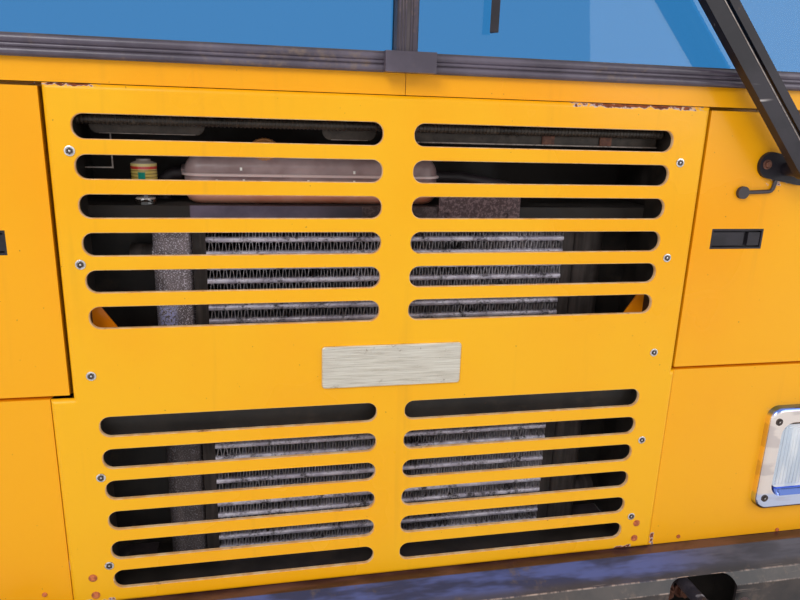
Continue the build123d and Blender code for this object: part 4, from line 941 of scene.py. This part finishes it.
# Insets and rises from the rim inwards, as shares of the radius and the height
boltShapes = {
    "washerRim": (0.1, 0.25),
    "washerFlat": 0.55,
    "washerDish": (0.04, -0.4),
    "head": [(0.16, 0.16), (0.22, 0)],
    "headCrown": [(0.12, -0.06)],
    "socketReach": 0.62,
    "socketWall": 0.0002,
    "socketDepth": 0.55,
    "cupWasher": [(0.12, 0.3), (0.16, 0), (0.05, -0.8)],
    "cupHead": [(0.12, 0.1), (0.3, 0)],
    "cupWall": 0.0003,
    "cupDepth": 0.6,
    "pinRadius": 0.36,
    "pinRise": 0.55,
    "pin": [(0.1, 0.15)],
}


def scaleSteps(radius, tall, *shares):
    return [(radius * inwards, tall * out) for inwards, out in shares]


def makeBolt(kind):
    bolt = boltSettings[kind]
    wide, thick = bolt["washer"]
    radius, tall = bolt["head"]
    washer = addRound("washer", front * thick / 2, wide, thick)
    rim, dish = scaleSteps(wide, thick, boltShapes["washerRim"], boltShapes["washerDish"])
    stepInsets(washer, front, [rim, ((wide - radius) * boltShapes["washerFlat"], 0), dish])
    head = addRound("head", front * (thick + tall) / 2, radius, thick + tall, bolt["sides"])
    stepInsets(head, front, scaleSteps(radius, tall, *boltShapes["head"]))
    if bolt["socket"]:
        wall = (boltShapes["socketWall"], -tall * boltShapes["socketDepth"])
        stepInsets(head, front, [(radius * boltShapes["socketReach"] - bolt["socket"], 0), wall])
    else:
        stepInsets(head, front, scaleSteps(radius, tall, *boltShapes["headCrown"]))
    return joinPieces([washer, head], "bolt")


def makeCupScrew():
    bolt = boltSettings["cupScrew"]
    wide, thick = bolt["washer"]
    radius, tall = bolt["head"]
    washer = addRound("washer", front * thick / 2, wide, thick, 28)
    stepInsets(washer, front, scaleSteps(wide, thick, *boltShapes["cupWasher"]))
    head = addRound("head", front * (thick + tall) / 2, radius, thick + tall, 6)
    wall = (boltShapes["cupWall"], -tall * boltShapes["cupDepth"])
    stepInsets(head, front, scaleSteps(radius, tall, *boltShapes["cupHead"]) + [wall])
    high = thick + tall * boltShapes["pinRise"]
    pin = addRound("pin", front * high / 2, radius * boltShapes["pinRadius"], high, 12)
    stepInsets(pin, front, scaleSteps(radius, tall, *boltShapes["pin"]))
    return washer, head, pin


fastenerSettings = {
    "panelX": (-0.48, 0.493),
    "panelRows": (0.896, 0.7295, 0.551, 0.373, 0.206),
    "panelCorners": ((0.507, 0.189), (0.5065, 0.155), (-0.508, 0.1845), (-0.506, 0.15)),
    "body": ((0.611, 0.1435), (0.846, 0.1355), (-0.588, 0.157), (-0.846, 0.1355)),
}
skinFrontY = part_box("lamp_panel_right")[0].y
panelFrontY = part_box("grille_panel")[0].y


def makeFrontFasteners(settings):
    panelSpots = [(x, panelFrontY, z) for x in settings["panelX"] for z in settings["panelRows"]]
    washer, head, pin = makeCupScrew()
    copiesAt(washer, panelSpots, "panelWashers", "lamp_chrome", "brightSteel")
    copiesAt(head, panelSpots, "panelScrewHeads", "chassis_black", "darkSteel")
    copiesAt(pin, panelSpots, "panelScrewPins", "lamp_chrome", "brightSteel")
    cornerSpots = onPlane(panelFrontY, settings["panelCorners"])
    copiesAt(makeBolt("flatBolt"), cornerSpots, "panelCornerBolts", "chassis_black", "redRust")
    bodySpots = onPlane(skinFrontY, settings["body"])
    copiesAt(makeBolt("panHead"), bodySpots, "bodyScrews", "lamp_chrome", "redRust")


makeFrontFasteners(fastenerSettings)
print("stage: front screws and bolts")

# Rims turned back inside the panel's slots

rimSettings = {
    "centreX": 0.25,
    "half": (0.226, 0.0185),
    "cornerRadius": 0.017,
    "wall": 0.001,
    "setBack": 0.0012,
    "depth": 0.0062,
    "rows": [top - 0.05715 * row for top in (0.931, 0.462) for row in range(6)],
}


def makeSlotRims(settings):
    halfX, halfZ = settings["half"]
    frontY = panelFrontY + settings["setBack"]
    rim = addBlock("rim", (-halfX, frontY, -halfZ), (halfX, frontY + settings["depth"], halfZ))
    bevelEdges(rim, longEdges(1), settings["cornerRadius"], 8)
    deleteFaces(rim, lambda centre, normal: abs(normal.y) > 0.9, "ONLY_FACE")
    applyModifier(rim, "SOLIDIFY", thickness=settings["wall"], offset=-1)
    spots = [(side * settings["centreX"], 0, z) for side in (-1, 1) for z in settings["rows"]]
    copiesAt(rim, spots, "slotRims", "yellow_paint", "sheetEdge")


makeSlotRims(rimSettings)
print("stage: slot rims")

# Ribs of the windshield gaskets: open towards the centre post, half sunk in the gasket's face

ribSettings = {
    "corner": 0.06,
    "ribs": [
        {"inset": 0.006, "radius": 0.0056, "forward": -0.0022},
        {"inset": 0.0145, "radius": 0.003, "forward": -0.0006},
        {"inset": 0.0225, "radius": 0.0068, "forward": -0.0034},
    ],
    "reach": 0.15,
    # middle, width and how far proud
    "postStrips": ((-0.0075, 0.003, 0.0012), (-0.003, 0.0024, 0.001), (0.0015, 0.0024, 0.001),
                   (0.01, 0.0026, 0.0016), (0.016, 0.007, 0.001)),
    "postInset": 0.002,
    "postSink": 0.001,
    "postRound": 0.6,
}


def makeGasketRibs(settings):
    low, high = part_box("windshield_gaskets")
    postLow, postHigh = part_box("centre_post")
    reach = settings["reach"]
    ribs = []
    for side, postX, lowX, highX in (
            (-1, postLow.x, low.x, postLow.x + reach), (1, postHigh.x, postHigh.x - reach, high.x)):
        for rib in settings["ribs"]:
            inset = rib["inset"]
            place = ((lowX + highX) / 2, low.y - rib["forward"], (low.z + high.z) / 2)
            deselectAll()
            bpy.ops.mesh.primitive_plane_add(size=1, location=place, rotation=(math.pi / 2, 0, 0))
            ring = bpy.context.object
            ring.scale = (highX - lowX - 2 * inset, high.z - low.z - 2 * inset, 1)
            placeInMesh(ring, "gasketRib")
            bpy.ops.object.mode_set(mode="EDIT")
            bpy.ops.mesh.select_all(action="SELECT")
            bpy.ops.mesh.bevel(offset=settings["corner"] - inset, segments=8, affect="VERTICES")
            bpy.ops.mesh.delete(type="ONLY_FACE")
            leaveEditMode()
            bpy.ops.object.convert(target="CURVE")
            ring = bpy.context.object
            ring.data.bevel_depth = rib["radius"]
            ring.data.bevel_resolution = 3
            bpy.ops.object.convert(target="MESH")
            ribs.append(bisectPiece(bpy.context.object, (postX, 0, 0), (-side, 0, 0)))
    finishPiece(ribs, "gasketRibs", "gasket_rubber", "gasketRib")


def makePostRibs(settings):
    low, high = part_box("centre_post")
    inset, backY = settings["postInset"], low.y + settings["postSink"]
    makeBlocks("postRibs", "gasket_rubber", "gasketRib", [
        ((x - wide / 2, low.y - proud, low.z + inset), (x + wide / 2, backY, high.z - inset),
         proud * settings["postRound"])
        for x, wide, proud in settings["postStrips"]
    ])


makeGasketRibs(ribSettings)
makePostRibs(ribSettings)
print("stage: gasket ribs")

# Charge air cooler: rounded flat tubes with folded fins between them, and plates at the top and bottom

coolerSettings = {
    "tubes": 27,
    "pitch": 0.024,
    "tubeHeight": 0.009,
    "frontRound": 0.0036,
    "plateGap": 0.0012,
    "plateSetBack": 0.002,
    "waves": 58,
    "flatShare": 0.34,
    "slopeShare": 0.16,
    "finThick": 0.0009,
    "finSetBack": 0.003,
    "crest": 0.0011,
}
radiatorSettings = {
    "backY": -0.479,
    "tubes": 61,
    "tubePitch": 0.011,
    "tubeX": (-0.33, -0.3272),
    "tubeDepth": 0.0045,
    "tubeInset": 0.004,
    "tubeRound": 0.001,
    "fins": 128,
    "finPitch": 0.005,
    "finX": (-0.332, 0.334),
    "finZ": (0.141, 0.1418),
    "finDepth": 0.0026,
    "finEdge": 0.0001,
}


def makeCooler(settings):
    low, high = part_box("cooler_core")
    pitch, tall, gap = settings["pitch"], settings["tubeHeight"], settings["plateGap"]
    firstZ = low.z + pitch / 2
    tube = addBlock("coreTubes", (low.x, low.y, firstZ - tall / 2), (high.x, high.y, firstZ + tall / 2))
    bevelEdges(tube, longEdges(0), settings["frontRound"], 4)
    repeatPiece(tube, settings["tubes"], (0, 0, pitch))
    finishPiece([tube], "coreTubes", "bare_aluminium", "coolerTube")
    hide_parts("cooler_core")
    setBack, plateTall = settings["plateSetBack"], firstZ - tall / 2 - gap - low.z
    makeBlocks("corePlates", "cast_aluminium", "castAluminium", [
        ((low.x, low.y + setBack, lowZ), (high.x, high.y - setBack, lowZ + plateTall), gap)
        for lowZ in (low.z, high.z - plateTall)
    ])
    wave = (high.x - low.x) / settings["waves"]
    flat, slope = wave * settings["flatShare"], wave * settings["slopeShare"]
    rise = pitch - tall
    deselectAll()
    bpy.ops.mesh.primitive_plane_add(size=1, location=(low.x + flat / 2, (low.y + high.y) / 2, firstZ + tall / 2))
    fin = bpy.context.object
    fin.scale = (flat, high.y - low.y - 2 * settings["finSetBack"], 1)
    placeInMesh(fin, "coreFins")
    pickEdges(fin, lambda first, second: min(first.x, second.x) > low.x + flat - tiny)
    for across, up in ((slope, rise), (flat, 0), (slope, -rise)):
        bpy.ops.mesh.extrude_region_move(TRANSFORM_OT_translate={"value": (across, 0, up)})
    leaveEditMode()
    inside = (low.x + 1e-4, low.x + wave - 1e-4)
    bevelEdges(fin, lambda first, second: inside[0] < first.x < inside[1] and abs(first.x - second.x) < tiny,
               settings["crest"], 1)
    repeatPiece(fin, settings["waves"], (wave, 0, 0), True)
    applyModifier(fin, "SOLIDIFY", thickness=settings["finThick"], offset=0)
    repeatPiece(fin, settings["tubes"] - 1, (0, 0, pitch))
    finishPiece([fin], "coreFins", "bare_aluminium", "coolerFin")


def makeRadiatorFins(settings):
    low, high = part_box("cooler_core")
    backY, inset = settings["backY"], settings["tubeInset"]
    tubeBackY = backY + settings["tubeDepth"]
    (tubeLeft, tubeRight), (finLeft, finRight) = settings["tubeX"], settings["finX"]
    tube = addBlock("tube", (tubeLeft, backY, low.z + inset), (tubeRight, tubeBackY, high.z - inset))
    bevelEdges(tube, lambda first, second: min(first.y, second.y) > tubeBackY - 5e-4
               and abs(first.x - second.x) < tiny, settings["tubeRound"])
    repeatPiece(tube, settings["tubes"], (settings["tubePitch"], 0, 0))
    finishPiece([tube], "radiatorTubes", "chassis_black", "chassisBlack")
    bottom, top = settings["finZ"]
    fin = addBlock("fin", (finLeft, backY, bottom), (finRight, backY + settings["finDepth"], top))
    stepInsets(fin, back, [(settings["finEdge"], 0)])
    repeatPiece(fin, settings["fins"], (0, 0, settings["finPitch"]))
    finishPiece([fin], "radiatorFins", "bare_aluminium", "coolerFin")


makeCooler(coolerSettings)
makeRadiatorFins(radiatorSettings)
print("stage: cooler and radiator")

# Filter gauge: a round foot, a dark stem, and a clear jar with a shoulder and a neck

jarSettings = {
    "sides": 40,
    # radius and rise to it, from the foot up
    "steps": [
        (0.0165, 0), (0.0165, 0.008), (0.015, 0.002), (0.015, 0.001), (0.0062, 0.001), (0.0056, 0.018),
        (0.012, 0.002), (0.019, 0.001), (0.02, 0.001), (0.02, 0.031), (0.019, 0.0012), (0.0115, 0.0028),
        (0.011, 0.0006), (0.011, 0.002), (0.01, 0.0004),
    ],
}


def makeGauge(settings):
    low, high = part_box("filter_gauge")
    place = ((low.x + high.x) / 2, (low.y + high.y) / 2, low.z)
    jar = addTurned("gaugeJar", place, settings["steps"], settings["sides"])
    finishPiece([jar], "gaugeJar", "gauge_clear", "gaugeClear")
    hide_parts("filter_gauge")


makeGauge(jarSettings)
print("stage: filter gauge")

# Surge tank: domed halves with a welded flange, and a filler that leans forward

tankSettings = {
    "top": 0.893,
    "endRound": 0.03,
    "topRound": 0.032,
    "bottomRound": 0.02,
    "flangeProud": 0.004,
    "flangeHalf": 0.002,
    "flangeRise": 0.006,
    "flangeRound": 0.0012,
    "nubLength": 0.01,
    "nubRadius": 0.011,
    "nubSetBack": 0.023,
    "nubBore": [(0.002, 0), (0.0005, -0.006)],
    "fillerPlace": (-0.206, -0.593, 0.899),
    "fillerLean": 47,
    # radius and rise to it, from the foot up
    "collarSteps": [(0.0262, 0), (0.0262, 0.0352), (0.0256, 0.0018)],
    "collarDrop": 0.04,
    "collarBore": [(0.0022, 0), (0.0003, -0.006)],
    "capSteps": [(0.0228, 0), (0.0228, 0.008), (0.0216, 0.0012), (0.019608, 0.0002), (0.018924, -0.0012),
                 (0.007752, 0.0003), (0.00684, 0.001), (0.005016, 0.0003)],
    "capDrop": 0.008,
    "grips": 26,
    "gripRadius": 0.0011,
    "gripMiddle": -0.0036,
    "gripTip": [(0.0004, 0.0004)],
}


def makeSurgeTank(settings):
    low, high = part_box("surge_tank")
    nub, proud, top, half = (settings[label] for label in ("nubLength", "flangeProud", "top", "flangeHalf"))
    left, right, near, far = low.x + nub, high.x - nub, low.y + proud, high.y - proud
    shell = addBlock("shell", (left, near, low.z), (right, far, top))
    bevelEdges(shell, longEdges(2, 0.05), settings["endRound"], 5)
    bevelEdges(shell, lambda first, second: min(first.z, second.z) > top - tiny, settings["topRound"], 6)
    bevelEdges(shell, lambda first, second: max(first.z, second.z) < low.z + tiny, settings["bottomRound"], 4)
    middleZ = (low.z + top) / 2 + settings["flangeRise"]
    flange = addBlock("flange", (left - proud, near - proud, middleZ - half),
                      (right + proud, far + proud, middleZ + half))
    bevelEdges(flange, longEdges(2, 0.003), settings["endRound"] + proud, 5)
    bevelEdges(flange, lambda first, second: abs(first.z - second.z) < 1e-6 and first.z > middleZ,
               settings["flangeRound"])
    nubs = []
    for x, out in ((left - nub / 2 + half, -1), (right + nub / 2 - half, 1)):
        place = (x, far - settings["nubSetBack"], middleZ)
        pipe = addRound("nub", place, settings["nubRadius"], nub + 2 * half, 24, "X")
        nubs.append(stepInsets(pipe, Vector((out, 0, 0)), settings["nubBore"]))
    collar = addTurned("collar", (0, 0, -settings["collarDrop"]), settings["collarSteps"], 40)
    stepInsets(collar, upward, settings["collarBore"])
    leanForward(collar, settings["fillerPlace"], settings["fillerLean"])
    pieces = [shell, flange, collar] + nubs
    tank = finishPiece(pieces, "surgeTankShell", "tank_plastic", "tankPlastic", smoothAngle=30)
    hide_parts("surge_tank")


def makeSurgeCap(settings):
    radius, tall = settings["capSteps"][0][0], settings["capDrop"]
    pieces = [addTurned("cap", (0, 0, -tall), settings["capSteps"], 42)]
    for step in range(settings["grips"]):
        turn = 2 * math.pi * step / settings["grips"]
        place = (radius * math.cos(turn), radius * math.sin(turn), settings["gripMiddle"])
        grip = addRound("grip", place, settings["gripRadius"], tall, 8, "Z")
        pieces.append(stepInsets(grip, upward, settings["gripTip"]))
    cap = leanForward(joinPieces(pieces, "surgeCapTurned"), settings["fillerPlace"], settings["fillerLean"])
    finishPiece([cap], "surgeCapTurned", "cap_orange", "capOrange", smoothAngle=30)
    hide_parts("surge_cap")


makeSurgeTank(tankSettings)
makeSurgeCap(tankSettings)
print("stage: surge tank")

# Lapped strips behind the seams of the wrapped side skins

seamSettings = {
    "outerX": 1.2155,
    "frontY": -0.6905,
    "backY": -0.301,
    "cornerRadius": 0.1465,
    "wall": 0.0015,
    "seams": ((0.505, 0.525), (0.982, 0.997), (1.014, 1.03), (2.122, 2.138)),
}


def makeSeamStrips(settings):
    outerX, frontY = settings["outerX"], settings["frontY"]
    strips = []
    for lowZ, highZ in settings["seams"]:
        strip = addBlock("strip", (-outerX, frontY, lowZ), (outerX, settings["backY"], highZ))
        bevelEdges(strip, lambda first, second: max(first.y, second.y) < frontY + tiny
                   and abs(first.x - second.x) < tiny, settings["cornerRadius"], 12)
        deleteFaces(strip, lambda centre, normal: abs(normal.z) > 0.9 or abs(normal.y) > 0.999)
        strips.append(applyModifier(strip, "SOLIDIFY", thickness=settings["wall"], offset=-1))
    # painted shade: the darker copy of the paint on the strips seen through the seams
    finishPiece(strips, "seamStrips", "yellow_paint", "deepPaint")


makeSeamStrips(seamSettings)
print("stage: seam strips")

# Brackets, strips and seals behind the slots

gussetSettings = {
    "x": (0.403, 0.478),
    "y": (-0.668, -0.665),
    "z": (0.56, 0.675),
    "slope": (0.115, 0.075),
}


def makeGussets(settings):
    (near, far), (frontY, backY), (bottom, top) = settings["x"], settings["y"], settings["z"]
    wide, tall = settings["slope"]
    plates = []
    for side in (-1, 1):
        low, high = sorted((side * far, side * near))
        plate = addBlock("plate", (low, frontY, bottom), (high, backY, top))
        plates.append(bisectPiece(plate, (side * far, 0, top), Vector((-side * wide, 0, tall))))
    # painted shade: the darker copy of the paint on the gussets behind the slots
    finishPiece(plates, "gussetPlates", "yellow_paint", "deepPaint")


# Slot, finish and blocks of each piece
blockSettings = {
    "upperStrip": ("chassis_black", "dustyBrown", [
        ((0.03, -0.6525, 0.917), (0.472, -0.6503, 0.944), [(0.001, 0.0003)]),
    ]),
    "paleLips": ("bare_aluminium", "paleEdge", [
        ((0.03, -0.6565, 0.917), (0.472, -0.6525, 0.9192), 0.0006),
        ((-0.449, -0.6516, 0.92), (-0.31, -0.65, 0.9211), 0.0004),
        ((-0.101, -0.6516, 0.918), (-0.042, -0.65, 0.9191), 0.0004),
        ((-0.477, -0.633, 0.867), (-0.437, -0.631, 0.869), [(0.0004, 0.0002)]),
        ((-0.438, -0.633, 0.867), (-0.436, -0.631, 0.9925), [(0.0004, 0.0002)]),
    ]),
    "upperTabs": ("chassis_black", "rustySteel", [
        ((x - 0.011, -0.6555, 0.919), (x + 0.011, -0.6525, 0.9905), [(0.0012, 0.0006), (0.005, 0)])
        for x in (0.268, 0.374)
    ]),
}
cornerSealSettings = ("gasket_rubber", "gasketRubber", [
    ((left, -0.63, 0.1352), (right, -0.5405, 0.1372), [(0.003, 0.0006)], upward)
    for left, right in ((-0.5, -0.424), (0.424, 0.5))
])
loomSettings = {"pitch": 0.006, "radius": 0.0066, "ribRadius": 0.008, "ribWide": 0.0032, "ribRound": 0.0008}


def makeLoom(settings):
    low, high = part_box("wiring_loom")
    pitch = settings["pitch"]
    place = Vector((low.x + pitch / 2, (low.y + high.y) / 2, (low.z + high.z) / 2))
    ring = addRound("ring", place, settings["radius"], pitch, 14, "X")
    rib = addRound("rib", place, settings["ribRadius"], settings["ribWide"], 14, "X")
    bevelEdges(rib, lambda first, second: abs(first.x - second.x) < 1e-6, settings["ribRound"], 1)
    tube = repeatPiece(joinPieces([ring, rib], "loomTube"), int((high.x - low.x) / pitch), (pitch, 0, 0))
    finishPiece([tube], "loomTube", "black_plastic", "loomTube", smoothAngle=30)
    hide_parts("wiring_loom")


makeGussets(gussetSettings)
for name, row in blockSettings.items():
    makeBlocks(name, *row)
makeLoom(loomSettings)
makeBlocks("cornerSeals", *cornerSealSettings)
print("stage: pieces behind the slots")

# Lamps: lens flutes, ribs of the turn lamps, and screws in the bezels

lampSettings = {
    # node, count, centre, half size, gap at each side, how proud, rounding and its segments
    "lensFlutes": ("headlamps", 23, (0.905, 0.312), (0.092, 0.064), 0, 0.0016, 0.0014, 3),
    "turnLampRibs": ("turn_lamps", 14, (0.925, 0.468), (0.044, 0.019), 0.0006, 0.0014, 0.0012, 2),
    "sink": 0.001,
    "bezelScrews": ((0.783, 0.397), (1.027, 0.397), (0.783, 0.227), (1.027, 0.227)),
}


def makeFlutes(name, slot, finish, settings):
    node, count, (centreX, centreZ), (halfX, halfZ), gap, proud, rounding, segments = settings[name]
    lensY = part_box(node)[0].y
    pitch = 2 * halfX / count
    flutes = []
    for side in (-1, 1):
        lowX = side * centreX - halfX
        flute = addBlock("flute", (lowX + gap, lensY - proud, centreZ - halfZ),
                         (lowX + pitch - gap, lensY + settings["sink"], centreZ + halfZ))
        bevelEdges(flute, frontEdges(flute), rounding, segments)
        flutes.append(repeatPiece(flute, count, (pitch, 0, 0)))
    finishPiece(flutes, name, slot, finish)


def makeBezelScrews(settings):
    spots = bothSides(onPlane(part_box("lamp_bezels")[0].y, settings["bezelScrews"]))
    washer, head, pin = makeCupScrew()
    copiesAt(joinPieces([washer, head], "recess"), spots, "bezelRecesses", "chassis_black", "darkSteel")
    copiesAt(pin, spots, "bezelScrews", "lamp_chrome", "brightSteel")


makeFlutes("lensFlutes", "lamp_glass", "lampGlass", lampSettings)
makeFlutes("turnLampRibs", "amber_lens", "amberLens", lampSettings)
makeBezelScrews(lampSettings)
print("stage: lamp detail")

# Bolts of the chassis pieces, the hinges and the wipers

otherBoltSettings = {
    "hooks": ((0.598, -0.696, 0.016), (0.638, -0.696, 0.016)),
    "hingeX": 1.034,
    "hingeRows": [0.545 + 0.0685 * row for row in range(7)],
    "hingeProud": 0.002,
    "wiperBase": (0.664, 0.896),
    "wiperBaseProud": 0.007,
}


def makeOtherBolts(settings):
    copiesAt(makeBolt("hexLarge"), bothSides(settings["hooks"]), "hookBolts", "chassis_black", "rustySteel")
    hingeY = skinFrontY - settings["hingeProud"]
    hingeSpots = bothSides([(settings["hingeX"], hingeY, z) for z in settings["hingeRows"]])
    copiesAt(makeBolt("panHead"), hingeSpots, "hingeScrews", "lamp_chrome", "brightSteel")
    baseX, baseZ = settings["wiperBase"]
    for side, name in ((-1, "left"), (1, "right")):
        spots = [(side * baseX, skinFrontY - settings["wiperBaseProud"], baseZ)]
        copiesAt(makeBolt("hexSmall"), spots, f"wiperBaseBolt_{name}", "chassis_black", "rustySteel",
                 f"access_door_{name}")


makeOtherBolts(otherBoltSettings)
print("stage: chassis, hinge and wiper bolts")

# Splash plates that close the bumper's openings behind the tow hooks

splashSettings = {
    "middleX": 0.618,
    "halfX": 0.16,
    "lowZ": -0.06,
    "highZ": 0.1,
    "frontY": -0.6895,
    "thick": 0.0025,
    "corner": 0.012,
    "lip": 0.01,
    "dish": (0.0015, -0.001),
}


def makeSplashPlates(settings):
    frontY, thick, halfX = settings["frontY"], settings["thick"], settings["halfX"]
    plates = []
    for side in (-1, 1):
        middleX = side * settings["middleX"]
        plate = addBlock("plate", (middleX - halfX, frontY, settings["lowZ"]),
                         (middleX + halfX, frontY + thick, settings["highZ"]))
        bevelEdges(plate, longEdges(1, thick / 2), settings["corner"], 3)
        plates.append(stepInsets(plate, front, [(settings["lip"], 0), settings["dish"]]))
    finishPiece(plates, "splashPlates", "chassis_black", "chassisBlack")


makeSplashPlates(splashSettings)
print("stage: splash plates")

# Painted highlight: a pale strip along one edge of each main wiper arm

armHighlightSettings = {
    "pivot": (0.705, 0.889),
    "frontY": -0.7521,
    "start": 0.03,
    "length": 0.745,
    "offset": 0.0122,
    "wide": 0.0016,
    "deep": 0.0012,
    "rounding": 0.0003,
    "leans": {"left": -18, "right": -41},
}


def makeArmHighlights(settings):
    pivotX, pivotZ = settings["pivot"]
    for side, name in ((-1, "left"), (1, "right")):
        lean = math.radians(settings["leans"][name])
        along = Vector((math.sin(lean), 0, math.cos(lean))) * (settings["start"] + settings["length"] / 2)
        across = Vector((math.cos(lean), 0, -math.sin(lean))) * settings["offset"]
        deselectAll()
        bpy.ops.mesh.primitive_cube_add(
            size=1, location=Vector((side * pivotX, settings["frontY"], pivotZ)) + along + across,
            rotation=(0, lean, 0))
        strip = bpy.context.object
        strip.scale = (settings["wide"], settings["deep"], settings["length"])
        placeInMesh(strip, f"armHighlight_{name}")
        bevelEdges(strip, frontEdges(strip), settings["rounding"], 1)
        # painted highlight: a pale strip where the arm's edge catches the light
        finishPiece([strip], f"armHighlight_{name}", "wiper_black", "paleEdge", f"wiper_arm_{name}")


makeArmHighlights(armHighlightSettings)
print("stage: wiper edges")
